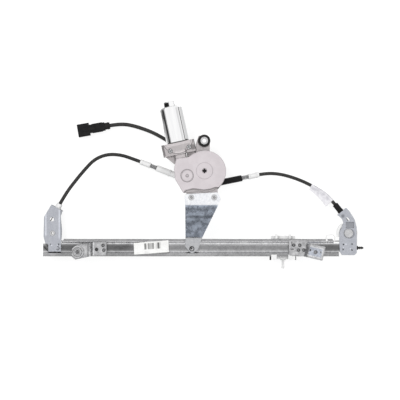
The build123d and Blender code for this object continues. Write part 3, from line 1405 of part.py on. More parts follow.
# Clip on the top flange's right end
clip_x = top_flange[1]
clip_sheet = 1.2
clip_height = 5.5
clip_low = flange_back - 3.3
clip_gap = 0.1
hook_sides = (clip_x - 10.8, clip_x - 7.4)
hook_reach = 3.4            # over the flange's front
hook_front = 1.1
with BuildPart() as flange_clip:
    with BuildSketch(Plane.XY.offset(clip_low)):
        with BuildLine():
            FilletPolyline((clip_x - 9.2, rail_top + clip_gap), (clip_x - 9.0, rail_top + 5.0),
                           (clip_x + 0.7, rail_top + 6.5), (clip_x + 3.6, rail_top + 2.8),
                           (clip_x + 2.8, rail_top - 3.6), radius=clip_sheet)
            offset(amount=clip_sheet, side=Side.LEFT)
        make_face()
    extrude(amount=clip_height)
    block(hook_sides, (rail_top + clip_gap, rail_top + clip_gap + 1), (clip_low, rail_front + 1))
    block(hook_sides, (rail_top - hook_reach, rail_top + clip_gap + 1),
          (rail_front + seat_gap, rail_front + hook_front))
flange_clip.part.label = "flange_clip"
export_step(flange_clip.part, "parts/flange_clip.step")

# Rubber end stop in the right bracket's lug
stop_body = 5.6
tail_steps = [(lug_back + 0.05, 2.4, 3.2), (lug_back + 4.0, 1.2, 2.3), (lug_back + 7.0, 1.2, 2.3)]
with BuildPart() as end_stop:
    rod(Vector(lug_back - plate_sheet - stop_body, *stop_line), Vector(1, 0, 0), stop_radius - 0.2,
        stop_body)
    rod(Vector(lug_back - plate_sheet - 0.1, *stop_line), Vector(1, 0, 0), stop_neck, plate_sheet + 0.3)
    rod(Vector(lug_back, *stop_line), Vector(1, 0, 0), 1.6, 11)
    for x, width, radius in tail_steps:
        rod(Vector(x, *stop_line), Vector(1, 0, 0), radius, width)
end_stop.part.label = "end_stop"
export_step(end_stop.part, "parts/end_stop.step")

# Motor lead with its grommet and plug
plug_heading = 190.0
plug_height = 7.0
plug_axis = heading(plug_heading)
plug_start = Vector(-152.0, 73.2, plug_height)
boot_length = 8.0
sleeve_length = 25.0
sleeve_section = (12.0, 13.5)           # height and width
front_length = 19.0
front_section = (14.0, 20.5)
socket_wall_plug = 1.8
socket_deep = 13.0
terminal_length = 5.5

with BuildPart() as lead_grommet:
    rod(lead_place - lead_axis * grommet_seat, lead_axis, seat_radius, grommet_seat)
    with Locations(facing(lead_place, lead_axis)):
        Cone(4.8, 3.7, 11.0, align=MIN_END)
    rod(lead_place - lead_axis * grommet_seat, lead_axis, lead_radius + seat_gap, 30,
        mode=Mode.SUBTRACT)
lead_grommet.part.label = "lead_grommet"
export_step(lead_grommet.part, "parts/lead_grommet.step")

lead_route = [
    lead_place - lead_axis * (grommet_seat - 0.3),
    lead_place + lead_axis * 18.0,
    (-81.0, 61.0, 8.6),
    (-96.5, 67.3, 6.4),
    (-112.5, 72.4, 4.4),
    (-127.0, 75.4, 3.8),
    plug_start - plug_axis * 9.0,
    plug_start + plug_axis * 9.0,
]
with BuildPart() as motor_lead:
    lead_length = swept_tube(lead_route, lead_radius)
print("lead length", round(lead_length, 1), "volume share",
      round(motor_lead.part.volume / (pi * lead_radius ** 2 * lead_length), 4))
motor_lead.part.label = "motor_lead"
export_step(motor_lead.part, "parts/motor_lead.step")

with BuildPart() as plug_boot:
    rod(plug_start, plug_axis, 5.5, boot_length)
    rod(plug_start + plug_axis * 2.2, plug_axis, 6.0, 1.4)
    rod(plug_start, plug_axis, lead_radius + seat_gap, boot_length, mode=Mode.SUBTRACT)
plug_boot.part.label = "plug_boot"
export_step(plug_boot.part, "parts/plug_boot.step")

front_start = boot_length + sleeve_length
with BuildPart() as plug_housing:
    with BuildSketch(facing(plug_start + plug_axis * boot_length, plug_axis)):
        RectangleRounded(*sleeve_section, 2.5)
    extrude(amount=sleeve_length)
    with BuildSketch(facing(plug_start + plug_axis * front_start, plug_axis)):
        RectangleRounded(*front_section, 2.0)
    extrude(amount=front_length)
    # Latch arm on the front and a rib down each side of the sleeve
    with BuildSketch(facing(plug_start + plug_axis * (front_start - 9), plug_axis)):
        with Locations((sleeve_section[0] / 2 + 0.4, 0)):
            Rectangle(2.4, 5.5)
    extrude(amount=20)
    with BuildSketch(facing(plug_start + plug_axis * (boot_length + 4), plug_axis)):
        Rectangle(2.4, sleeve_section[1] + 1.6)
    extrude(amount=sleeve_length - 8)
    rod(plug_start + plug_axis * boot_length, plug_axis, lead_radius + seat_gap, 8, mode=Mode.SUBTRACT)
    with BuildSketch(facing(plug_start + plug_axis * (front_start + front_length), plug_axis)):
        RectangleRounded(front_section[0] - 2 * socket_wall_plug, front_section[1] - 2 * socket_wall_plug,
                         1.2)
    extrude(amount=-socket_deep, mode=Mode.SUBTRACT)
plug_housing.part.label = "plug_housing"
export_step(plug_housing.part, "parts/plug_housing.step")

with BuildPart() as plug_terminals:
    with BuildSketch(facing(plug_start + plug_axis * (front_start + front_length - socket_deep),
                            plug_axis)):
        with Locations((-1.5, -5.2), (-1.5, 5.2)):
            Rectangle(4.4, 0.9)
        with GridLocations(4.2, 2.6, 2, 3):
            Rectangle(0.7, 0.7)
    extrude(amount=terminal_length)
plug_terminals.part.label = "plug_terminals"
export_step(plug_terminals.part, "parts/plug_terminals.step")
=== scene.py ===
"""Looks of a cable window regulator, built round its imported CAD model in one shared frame."""

import logging
import math
from dataclasses import dataclass, replace
from enum import Enum

import bpy
import numpy as np
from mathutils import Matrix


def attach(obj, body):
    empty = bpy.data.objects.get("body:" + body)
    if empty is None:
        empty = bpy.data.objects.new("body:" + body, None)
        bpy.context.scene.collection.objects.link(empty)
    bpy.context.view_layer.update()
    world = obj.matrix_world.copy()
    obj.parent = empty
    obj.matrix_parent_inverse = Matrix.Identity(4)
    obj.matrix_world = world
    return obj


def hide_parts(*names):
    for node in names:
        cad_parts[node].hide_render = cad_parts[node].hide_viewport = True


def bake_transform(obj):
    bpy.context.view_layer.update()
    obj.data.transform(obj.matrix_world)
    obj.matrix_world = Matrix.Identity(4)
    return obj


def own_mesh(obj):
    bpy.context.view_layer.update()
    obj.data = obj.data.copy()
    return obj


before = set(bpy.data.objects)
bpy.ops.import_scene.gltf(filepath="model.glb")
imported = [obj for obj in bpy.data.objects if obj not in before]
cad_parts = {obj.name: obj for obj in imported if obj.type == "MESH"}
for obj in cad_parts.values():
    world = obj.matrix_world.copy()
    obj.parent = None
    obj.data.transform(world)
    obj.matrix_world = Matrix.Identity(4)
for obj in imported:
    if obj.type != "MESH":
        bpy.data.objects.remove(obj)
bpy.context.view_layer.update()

LOG = logging.getLogger("window_regulator")
MM = 0.001
UP = np.array([0.0, 0.0, 1.0])

Colour = tuple[float, float, float]
Tone = float | Colour
Point = tuple[float, float, float]
Span = tuple[float, float]
Spot = tuple[float, float]
Socket = bpy.types.NodeSocket
Piece = bpy.types.Object
Array = np.ndarray


# Shader graphs


class Graph:
    """Short calls that add and join the nodes of one tree."""

    def __init__(self, tree: bpy.types.NodeTree) -> None:
        """Keep the tree."""
        self.tree = tree

    @classmethod
    def of(cls, owner: bpy.types.Material | bpy.types.World) -> "Graph":
        """Start the graph of a material or world.

        Args:
            owner: The material or world.

        Returns:
            The graph, with no nodes.
        """
        owner.use_nodes = True
        owner.node_tree.nodes.clear()
        return cls(owner.node_tree)

    def feed(self, socket: Socket, value: object) -> None:
        """Link or set one input.

        Args:
            socket: The input.
            value: An output to link, or the value to set.
        """
        if isinstance(value, Socket):
            self.tree.links.new(value, socket)
        elif socket.type == "RGBA":
            socket.default_value = (*value[:3], 1.0)
        else:
            socket.default_value = value

    def add(self, kind: str, inputs: dict | None = None, **settings: object) -> bpy.types.Node:
        """Add a node.

        Args:
            kind: The node's type, without its common start.
            inputs: Values or links by the input's name or number.
            settings: The node's own properties.

        Returns:
            The node.
        """
        node = self.tree.nodes.new(kind if kind.startswith("Node") else "ShaderNode" + kind)
        for name, value in settings.items():
            setattr(node, name, value)
        for key, value in (inputs or {}).items():
            self.feed(node.inputs[key], value)
        return node

    def shade(self, kind: str, inputs: dict, end: str = "OutputMaterial") -> None:
        """Add a shader and join it to the tree's output."""
        self.add(end, {"Surface": self.add(kind, inputs).outputs[0]})

    def math(self, operation: str, a: object, b: object = 0.0, clamp: bool = False) -> Socket:
        """Combine two values or outputs by a Math node, if wanted held between 0 and 1."""
        return self.add("Math", {0: a, 1: b}, operation=operation, use_clamp=clamp).outputs[0]

    def mix(self, share: object, a: object, b: object) -> Socket:
        """Mix two colours: a at share 0 and b at share 1."""
        return self.add("Mix", {0: share, 6: a, 7: b}, data_type="RGBA").outputs[2]

    def times(self, colour: object, share: object, tone: Tone) -> Socket:
        """Multiply a colour by a tone where a mask says."""
        inputs = {0: share, 6: colour, 7: tone if isinstance(tone, tuple) else (tone,) * 3}
        return self.add("Mix", inputs, data_type="RGBA", blend_type="MULTIPLY").outputs[2]

    def step(self, value: object, low: object, high: object, start: float = 0.0, end: float = 1.0) -> Socket:
        """Smooth step of a value from low to high, put out from start to end."""
        inputs = {0: value, 1: low, 2: high, 3: start, 4: end}
        return self.add("MapRange", inputs, interpolation_type="SMOOTHSTEP").outputs[0]

    def between(self, value: object, rise: tuple, fall: tuple) -> Socket:
        """Mask where a value lies between a rising and a falling smooth step."""
        return self.math("MULTIPLY", self.step(value, *rise), self.step(value, *fall, 1.0, 0.0))

    def noise(self, vector: object, scale: object, detail: float, rough: float) -> Socket:
        """Fractal noise from 0 to 1: waves per metre, octaves and strength of the finer ones."""
        inputs = {"Vector": vector, "Scale": scale, "Detail": detail, "Roughness": rough}
        return self.add("TexNoise", inputs).outputs[0]

    def stretch(self, vector: object, scale: Point, turn: float = 0.0) -> Socket:
        """Turn coordinates about Z by degrees, then scale them along each axis."""
        turned = self.add("Mapping", {"Vector": vector, "Rotation": (0, 0, math.radians(turn))})
        return self.add("Mapping", {"Vector": turned.outputs[0], "Scale": scale}).outputs[0]

    def vector(self, operation: str, a: object, b: object = (0.0, 0.0, 0.0)) -> bpy.types.NodeOutputs:
        """Combine two vectors by a Vector Math node, which puts out a vector and a value."""
        return self.add("VectorMath", {0: a, 1: b}, operation=operation).outputs

    def weighted(self, a: object, a_share: float, b: object, b_share: float) -> Socket:
        """Sum two values, each times its share."""
        return self.math("ADD", self.math("MULTIPLY", a, a_share), self.math("MULTIPLY", b, b_share))

    def from_foot(self, place: object, foot: Spot) -> Socket:
        """Measure coordinates from a foot, given in millimetres."""
        return self.vector("SUBTRACT", place, (foot[0] * MM, foot[1] * MM, 0.0))[0]


class Effect:
    """A shader node group that is built once and placed in each material that uses it."""

    made: dict[str, bpy.types.NodeTree] = {}

    @classmethod
    def tree(cls, name: str, ins: str, outs: str) -> tuple[Graph, dict, dict]:
        """Start a group with named inputs and outputs.

        Args:
            name: The group's name.
            ins: Names of its inputs: vectors are Vector and Normal, all others are numbers.
            outs: Names of its outputs.

        Returns:
            The graph, the group's inputs and the inputs of its output node.
        """
        group = cls.made[name] = bpy.data.node_groups.new(name, "ShaderNodeTree")
        for names, way in ((ins, "INPUT"), (outs, "OUTPUT")):
            for socket in names.split():
                kind = "NodeSocketVector" if socket in ("Vector", "Normal") else "NodeSocketFloat"
                group.interface.new_socket(socket, in_out=way, socket_type=kind)
        graph = Graph(group)
        return graph, graph.add("NodeGroupInput").outputs, graph.add("NodeGroupOutput").inputs

    @classmethod
    def place(cls, graph: Graph, name: str, **inputs: object) -> bpy.types.NodeOutputs:
        """Put a group into a material.

        Args:
            graph: The material's graph.
            name: The group's name.
            inputs: Its inputs.

        Returns:
            The group node's outputs.
        """
        if name not in cls.made:
            getattr(cls, name)()
        return graph.add("Group", inputs, node_tree=cls.made[name]).outputs

    @classmethod
    def spangle(cls) -> None:
        """Zinc crystals and stains: random shades of bent Voronoi cells, with finer and broader noise."""
        graph, ins, outs = cls.tree("spangle", "Vector Scale Stain", "Grain Stains Height")
        place = ins["Vector"]
        waves = graph.add("TexNoise", {"Vector": place, "Scale": 260.0}).outputs["Color"]
        bent = graph.vector("ADD", place, graph.vector("MULTIPLY", waves, (2.5 * MM,) * 3)[0])[0]
        cells = graph.add("TexVoronoi", {"Vector": bent, "Scale": ins["Scale"]})
        shade = graph.add("SeparateColor", {0: cells.outputs["Color"]}).outputs[0]
        fine = graph.noise(place, scale=1900.0, detail=4.0, rough=0.7)
        grain = graph.weighted(shade, 0.5, fine, 0.5)
        broad = graph.noise(place, ins["Stain"], detail=6.0, rough=0.65)
        graph.feed(outs["Grain"], graph.step(grain, low=0.2, high=0.8))
        graph.feed(outs["Stains"], graph.step(broad, low=0.36, high=0.66))
        graph.feed(outs["Height"], graph.math("ADD", grain, graph.math("MULTIPLY", broad, 0.6)))

    @classmethod
    def edge(cls) -> None:
        """Rounded edges: the bevelled normal, and a mask of how far it leans from the true one."""
        graph, ins, outs = cls.tree("edge", "Radius", "Mask Normal")
        bevel = graph.add("Bevel", {"Radius": ins["Radius"]}, samples=4).outputs[0]
        true = graph.add("NewGeometry").outputs["True Normal"]
        lean = graph.vector("DOT_PRODUCT", bevel, true)[1]
        graph.feed(outs["Mask"], graph.step(lean, low=0.985, high=0.80))
        graph.feed(outs["Normal"], bevel)

    @classmethod
    def crevice(cls) -> None:
        """Painted shade in corners: how much of the sky above a point is closed off within a short reach."""
        graph, ins, outs = cls.tree("crevice", "Reach", "Mask")
        share = graph.add("AmbientOcclusion", {"Distance": ins["Reach"]}, samples=8).outputs["AO"]
        graph.feed(outs["Mask"], graph.step(share, low=0.86, high=0.40))

    @classmethod
    def band(cls) -> None:
        """A band with soft, uneven edges: two smooth steps of a value that a broad noise shifts."""
        graph, ins, outs = cls.tree("band", "Vector Value Low High Soft", "Mask")
        soft = ins["Soft"]
        cloud = graph.noise(ins["Vector"], scale=70.0, detail=5.0, rough=0.6)
        shift = graph.math("MULTIPLY", graph.math("SUBTRACT", cloud, 0.5), soft)
        value = graph.math("ADD", ins["Value"], shift)
        limits = (
            (graph.math("SUBTRACT", ins[name], soft), graph.math("ADD", ins[name], soft))
            for name in ("Low", "High")
        )
        graph.feed(outs["Mask"], graph.between(value, *limits))

    @classmethod
    def scratches(cls) -> None:
        """Fine lines: noise stretched along one way, cut to its thin crests."""
        graph, ins, outs = cls.tree("scratches", "Vector Scale", "Mask")
        lines = graph.noise(ins["Vector"], ins["Scale"], detail=5.0, rough=0.7)
        graph.feed(outs["Mask"], graph.step(lines, low=0.62, high=0.70))

    @classmethod
    def dust(cls) -> None:
        """Dust on faces that look up: height of the normal times uneven noise."""
        graph, ins, outs = cls.tree("dust", "Vector", "Mask")
        up = graph.add("SeparateXYZ", {0: graph.add("NewGeometry").outputs["Normal"]}).outputs[2]
        noise = graph.noise(ins["Vector"], scale=160.0, detail=7.0, rough=0.7)
        cloud = graph.step(noise, low=0.42, high=0.75)
        graph.feed(outs["Mask"], graph.math("MULTIPLY", graph.step(up, low=0.5, high=1.0), cloud))


# Finishes

# Noise drawn out along a metal's grain: factors of the coordinates
AS_IS = (1.0, 1.0, 1.0)
ALONG_ROLLING = (0.08, 1.0, 1.0)
ALONG_DRAWING = (1.0, 0.06, 1.0)
# Scratches, and the painted highlight on edges: gain and lift over a metal's light tone
SCRATCH_SCALE = 620.0
SCRATCH_DARK = 0.12
EDGE_HIGHLIGHT_GAIN = 1.25
EDGE_HIGHLIGHT_LIFT = 0.08
DUST_COLOUR = (0.32, 0.31, 0.29)
# Label bars: soft widths at their ends and at their long sides, as shares of the sheet
BAR_EDGE = 0.004
BAR_FADE = 0.03
# Inner radius of a ring without a hole
NO_HOLE = -5.0


def band_mask(graph: Graph, place: Socket, value: Socket, limits: Span, soft: float) -> Socket:
    """Mask where a value, in metres, lies between two limits with soft edges, in millimetres."""
    low, high = (limit * MM for limit in limits)
    return Effect.place(graph, "band", Vector=place, Value=value, Low=low, High=high, Soft=soft * MM)["Mask"]


@dataclass(frozen=True)
class Zone:
    """An area of a piece multiplied by a tone, used for painted highlights, painted shade and painted reflections:
    limits in millimetres from a foot, along turned axes.
    """

    tone: Tone
    y: Span
    soft: float = 1.0
    x: Span | None = None
    x_soft: float = 12.0
    foot: Spot = (0.0, 0.0)
    turn: float = 0.0

    def mask(self, graph: Graph, place: Socket) -> Socket:
        """Mask the area.

        Args:
            graph: The material's graph.
            place: Object coordinates.

        Returns:
            The product of the bands along each axis.
        """
        turned = graph.stretch(graph.from_foot(place, self.foot), AS_IS, -self.turn)
        axes = graph.add("SeparateXYZ", {0: turned}).outputs
        mask = band_mask(graph, place, axes[1], self.y, self.soft)
        if self.x:
            mask = graph.math("MULTIPLY", mask, band_mask(graph, place, axes[0], self.x, self.x_soft))
        return mask


@dataclass(frozen=True)
class Ring:
    """A round line or spot multiplied by a tone, used for painted highlights and painted shade: its centre and its two
    radii in millimetres.
    """

    tone: Tone
    centre: Spot
    radius: Span
    soft: float = 0.35

    def mask(self, graph: Graph, place: Socket) -> Socket:
        """Mask the band between both radii, by the distance from the centre's vertical line."""
        level = graph.vector("MULTIPLY", graph.from_foot(place, self.centre), (1.0, 1.0, 0.0))[0]
        return band_mask(graph, place, graph.vector("LENGTH", level)[1], self.radius, self.soft)


Area = Zone | Ring


class Grain(Enum):
    """How a metal's surface was made."""

    ROLLED = "rolled"
    CAST = "cast"
    DRAWN = "drawn"


def new_material(name: str) -> tuple[bpy.types.Material, Graph, Socket]:
    """Start a material.

    Args:
        name: Its name.

    Returns:
        The material, its graph and its object coordinates.
    """
    material = bpy.data.materials.new(name)
    graph = Graph.of(material)
    return material, graph, graph.add("TexCoord").outputs["Object"]


def surface(
    graph: Graph, finish: "Metal | Moulded", colour: Socket, height: Socket, normal: Socket
) -> dict[str, Socket]:
    """Paint shade into the corners of a surface and bump it.

    Args:
        graph: The material's graph.
        finish: The finish, for its share of painted corner shade, its reach and its depth.
        colour: The colour so far.
        height: The bump's height.
        normal: The normal under the bump.

    Returns:
        The shader's colour and normal.
    """
    corner = Effect.place(graph, "crevice", Reach=finish.reach)["Mask"]
    bump = graph.add("Bump", {"Height": height, "Distance": finish.depth, "Normal": normal})
    # Painted shade in corners: the colour darkened where the crevice mask says, by the finish's share of corner shade.
    return {"Base Color": graph.times(colour, corner, 1.0 - finish.corner_shade), "Normal": bump.outputs[0]}


@dataclass(frozen=True)
class Metal:
    """Sheet, cast or drawn metal with crystals, stains and scratches, a painted highlight on its edges, painted shade
    in its corners and painted tones in its zones.
    """

    name: str
    dark: Colour
    light: Colour
    rough: Span = (0.24, 0.42)
    grain: Grain = Grain.ROLLED
    scale: float = 420.0
    stain: float = 45.0
    stain_share: float = 0.5
    depth: float = 0.03 * MM
    edge_radius: float = 0.8 * MM
    painted_edge_share: float = 0.0
    corner_shade: float = 0.55
    reach: float = 2.5 * MM
    lean: float = 0.0
    zones: tuple[Area, ...] = ()

    def build(self) -> bpy.types.Material:
        """Build the material.

        Returns:
            The material, with its tone from dark to light by grain and stains.
        """
        material, graph, place = new_material(self.name)
        grained, way = place, AS_IS
        if self.grain is Grain.DRAWN:
            grained = graph.stretch(place, ALONG_DRAWING, -self.lean)
        elif self.grain is Grain.ROLLED:
            way = ALONG_ROLLING
        marks = Effect.place(graph, "spangle", Vector=grained, Scale=self.scale, Stain=self.stain)
        lines = Effect.place(graph, "scratches", Vector=graph.stretch(grained, way), Scale=SCRATCH_SCALE)
        edge = Effect.place(graph, "edge", Radius=self.edge_radius)
        share = self.stain_share
        tone = graph.weighted(marks["Grain"], 1.0 - share, marks["Stains"], share)
        tone = graph.math("SUBTRACT", tone, graph.math("MULTIPLY", lines["Mask"], SCRATCH_DARK), clamp=True)
        colour = graph.mix(tone, self.dark, self.light)
        # The zones multiply the colour: painted highlights, painted shade and painted reflections.
        for area in self.zones:
            colour = graph.times(colour, area.mask(graph, place), area.tone)
        # Painted highlight on edges: the light tone raised, mixed in by the edge mask times the finish's share.
        bright = tuple(min(1.0, channel * EDGE_HIGHLIGHT_GAIN + EDGE_HIGHLIGHT_LIFT) for channel in self.light)
        colour = graph.mix(graph.math("MULTIPLY", edge["Mask"], self.painted_edge_share), colour, bright)
        rough = graph.step(marks["Stains"], 0.0, 1.0, *self.rough)
        inputs = surface(graph, self, colour, marks["Height"], edge["Normal"])
        graph.shade("BsdfPrincipled", {"Metallic": 1.0, "Roughness": rough, **inputs})
        return material


@dataclass(frozen=True)
class Moulded:
    """Moulded plastic or rubber with fine grain, uneven colour, dust, painted shade in its corners, painted tones in
    its zones, and edges painted towards an edge colour: a painted highlight where that is lighter, painted shade where
    it is darker.
    """

    name: str
    base: Colour
    shade: Colour
    rough: Span = (0.35, 0.55)
    scale: float = 1500.0
    depth: float = 0.02 * MM
    edge_radius: float = 0.35 * MM
    painted_edge_share: float = 0.15
    painted_edge_colour: Colour = (0.5, 0.5, 0.5)
    dust: float = 0.0
    gloss: float = 0.5
    corner_shade: float = 0.35
    reach: float = 2.0 * MM
    zones: tuple[Area, ...] = ()

    def build(self) -> bpy.types.Material:
        """Build the material.

        Returns:
            The material, mixed from base to shade by broad noise.
        """
        material, graph, place = new_material(self.name)
        cloud = graph.step(graph.noise(place, scale=70.0, detail=5.0, rough=0.6), low=0.35, high=0.68)
        fine = graph.noise(place, self.scale, detail=3.0, rough=0.6)
        edge = Effect.place(graph, "edge", Radius=self.edge_radius)
        colour = graph.mix(graph.weighted(cloud, 0.7, fine, 0.3), self.base, self.shade)
        # Edges painted towards the edge colour: a painted highlight where it is lighter than the base, painted shade
        # where it is darker.
        colour = graph.mix(graph.math("MULTIPLY", edge["Mask"], self.painted_edge_share), colour, self.painted_edge_colour)
        # The zones multiply the colour: painted highlights and painted shade.
        for area in self.zones:
            colour = graph.times(colour, area.mask(graph, place), area.tone)
        if self.dust:
            dust = Effect.place(graph, "dust", Vector=place)
            colour = graph.mix(graph.math("MULTIPLY", dust["Mask"], self.dust), colour, DUST_COLOUR)
        rough = graph.step(cloud, 0.0, 1.0, *self.rough)
        inputs = surface(graph, self, colour, fine, edge["Normal"])
        graph.shade("BsdfPrincipled", {"Specular IOR Level": self.gloss, "Roughness": rough, **inputs})
        return material


@dataclass(frozen=True)
class Paper:
    """White label stock, with plain bars at given shares of the sheet: start, end and darkness of each."""

    name: str
    dark: Colour = (0.80, 0.80, 0.79)
    light: Colour = (0.92, 0.92, 0.91)
    bars: tuple[tuple[float, float, float], ...] = ()
    bar_height: Span = (0.35, 0.90)
    rough: float = 0.6
    depth: float = 0.02 * MM

    def build(self) -> bpy.types.Material:
        """Build the material.

        Returns:
            Paper of uneven white, darkened where the sheet's own map is inside a bar.
        """
        material, graph, place = new_material(self.name)
        fibre = graph.noise(place, scale=900.0, detail=4.0, rough=0.6)
        cloud = graph.step(graph.noise(place, scale=120.0, detail=5.0, rough=0.6), low=0.35, high=0.65)
        colour = graph.mix(cloud, self.dark, self.light)
        if self.bars:
            sheet = graph.add("SeparateXYZ", {0: graph.add("UVMap", uv_map="sheet").outputs[0]}).outputs
            low, high = self.bar_height
            level = graph.between(sheet[1], (low, low + BAR_FADE), (high - BAR_FADE, high))
            for start, end, darkness in self.bars:
                rise, fall = ((limit - BAR_EDGE, limit + BAR_EDGE) for limit in (start, end))
                inside = graph.between(sheet[0], rise, fall)
                colour = graph.times(colour, graph.math("MULTIPLY", inside, level), 1.0 - darkness)
        bump = graph.add("Bump", {"Height": fibre, "Distance": self.depth}).outputs[0]
        graph.shade("BsdfPrincipled", {"Base Color": colour, "Roughness": self.rough, "Normal": bump})
        return material


# Where areas are measured from, in millimetres of the plan: the motor's foot, with its lean in degrees,
# the left mount's nut and the middle of the right mount
MOTOR_FOOT = (-31.29, -6.71)
MOTOR_TURN = 12.1
NUT = (-202.6, -129.2)
MOUNT = (176.8, -129.6)


def spots(*rows: tuple[float, ...]) -> tuple[Ring, ...]:
    """Make rings without holes from rows of tone, x, y, radius and, if wanted, soft width."""
    return tuple(Ring(tone, (x, y), (NO_HOLE, radius), *soft) for tone, x, y, radius, *soft in rows)


def on_motor(*rows: tuple) -> tuple[Zone, ...]:
    """Make areas of the motor, with limits along and across its shaft."""
    return tuple(Zone(*row, MOTOR_FOOT, MOTOR_TURN) for row in rows)


RAIL_ZINC = Metal(
    "rail zinc", (0.42, 0.42, 0.43), (0.67, 0.67, 0.68), rough=(0.24, 0.40), scale=520.0, stain=55.0, corner_shade=0.35,
    zones=(
        # Painted light on the rail: the 1.75 and 1.25 bands are painted highlights on the bends, the darker web, darker
        # still towards its ends, is painted shade of the recessed channel, the diagonal dark and light marks at the
        # left end are painted shade and highlight, and strips of both flanges are painted darker.
        Zone(0.68, (-112.4, -108.0), 0.5), Zone(1.75, (-116.2, -112.9), 0.6), Zone(0.52, (-127.0, -118.4), 2.6),
        *(Zone(0.50, (-128.0, -117.0), 1.5, x) for x in ((-258.0, -112.0), (186.0, 240.0))),
        Zone(1.25, (-131.4, -129.0), 0.5), Zone(0.72, (-137.0, -133.0), 0.7),
        Zone(0.74, (-136.0, -128.6), 1.0, (-236.0, -60.0)), Zone(0.82, (-136.0, -128.6), 1.0, (20.0, 240.0)),
        *(Zone(tone, (-half, half), 0.5, (-6.0, 6.0), 0.8, foot, -45.0) for tone, half, foot in (
            (0.35, 1.0, (-253.6, -117.6)), (1.6, 0.8, (-252.2, -119.8)), (0.35, 1.0, (-253.8, -124.6)))),
    ))
BRACKET_ZINC = Metal(
    "bracket zinc", (0.43, 0.445, 0.49), (0.55, 0.565, 0.61), rough=(0.28, 0.42), scale=700.0, stain=80.0,
    edge_radius=1.5 * MM, painted_edge_share=0.7, corner_shade=0.8,
    zones=(
        # Painted light on the end brackets: the bright stripes along the left bracket's sides are painted highlights on
        # its folds and the dark strip beside them painted shade; the dark ring and spot at the right rivet, the square
        # recess and the dark patch on the right bracket's top are painted shade; each clinch mark is a painted shaded
        # dimple with a painted highlight beside it.
        Zone(1.4, (-104.0, -66.0), 2.0, (-255.4, -252.8), 0.5), Zone(1.4, (-108.0, -62.0), 2.0, (-233.6, -231.2), 0.5),
        Zone(0.62, (-109.0, -58.0), 2.0, (-230.4, -228.8), 0.4), Ring(0.62, (232.8, -100.3), (6.6, 7.6)),
        *spots((0.80, 232.8, -100.3, 6.6)), Zone(0.66, (-91.4, -82.2), 0.4, (226.8, 239.4), 0.4),
        *spots(
            (0.55, 221.5, -72.0, 2.6, 1.4), (0.22, 222.6, -117.4, 0.9), (1.5, 226.4, -117.2, 1.2),
            (0.22, 236.5, -116.6, 0.9), (1.5, 222.4, -122.6, 1.0), (0.25, 221.8, -125.9, 0.9),
            (0.22, 236.5, -126.6, 1.0), (1.5, 233.4, -124.4, 0.9), (0.3, -246.6, -117.2, 1.0),
            (1.5, -244.6, -119.0, 1.0), (0.3, -233.4, -117.0, 1.0), (1.5, -235.4, -118.6, 1.0),
            (0.3, -234.0, -125.8, 1.0), (1.5, -236.0, -124.4, 0.9)),
    ))
STAY_ZINC = Metal(
    "stay zinc", (0.66, 0.67, 0.70), (0.86, 0.87, 0.89), rough=(0.24, 0.40), scale=500.0, stain=120.0, depth=0.012 * MM,
    zones=(
        # Painted light on the stay: its top is painted lighter as a painted highlight, its slope painted bluish and
        # darker with light and dark bands as painted reflections, and its foot below the fold painted darker.
        Zone(1.2, (-53.6, -30.0), 0.8), Zone((0.72, 0.79, 0.90), (-106.0, -54.5), 1.0),
        Zone(1.3, (-57.8, -54.4), 0.5), Zone(0.84, (-62.2, -58.8), 0.8), Zone(1.14, (-70.4, -63.6), 1.0),
        Zone(0.68, (-74.8, -71.4), 0.8), Zone(0.80, (-86.0, -79.6), 1.6),
        Zone(0.86, (-92.0, -88.6), 1.4, (-40.0, -22.0), 4.0), Zone(0.66, (-140.0, -106.0), 1.5),
    ))
BRIGHT_ZINC = Metal(
    "bright zinc", (0.34, 0.34, 0.35), (0.66, 0.66, 0.67), rough=(0.20, 0.34), stain=150.0, stain_share=0.6, corner_shade=0.7,
    painted_edge_share=0.6,
    zones=(
        # Painted light on the mounts: the dark and light rings round the nut are painted shade and highlights of its
        # collar, and the light and dark stripes across the left mount are painted highlights and shade on its rims; the
        # right mount's middle is painted lighter round a darker bluish square, and two small spots are painted dark.
        Ring(0.45, NUT, (9.8, 10.7)), Ring(1.6, NUT, (8.2, 9.6), 0.5), Ring(0.55, NUT, (6.9, 7.7)),
        Ring(0.50, NUT, (4.2, 4.9)),
        *(Zone(tone, (-140.0, -108.0), 2.0, x, soft) for tone, x, soft in (
            (0.45, (-186.6, -184.9), 0.5), (1.6, (-184.2, -182.0), 0.5), (0.5, (-181.0, -179.4), 0.5),
            (1.35, (-178.6, -176.4), 0.5), (0.5, (-157.2, -155.6), 0.4))),
        Zone(1.35, (-8.4, 8.4), 0.5, (-12.4, 12.4), 0.5, MOUNT, -13.0),
        Zone((0.76, 0.80, 0.88), (-6.6, 6.6), 0.5, (-10.4, 10.4), 0.5, MOUNT, -13.0),
        *spots((0.3, 168.3, -126.7, 1.3), (0.4, 185.4, -130.4, 0.9)),
    ))
SCREW_ZINC = Metal(
    "screw zinc", (0.46, 0.46, 0.47), (0.72, 0.72, 0.73), rough=(0.22, 0.36), scale=900.0, stain=200.0, corner_shade=0.75,
    # The dark round spot is painted shade.
    zones=spots((0.15, -21.0, -123.8, 1.9, 0.5)))
TURNED_STEEL = Metal(
    "turned steel", (0.36, 0.36, 0.37), (0.58, 0.58, 0.59), rough=(0.18, 0.32), scale=1400.0, stain=300.0)
CABLE_STEEL = Metal(
    "cable steel", (0.14, 0.14, 0.145), (0.46, 0.46, 0.47), rough=(0.3, 0.5), scale=1600.0, stain=700.0,
    edge_radius=0.1 * MM)
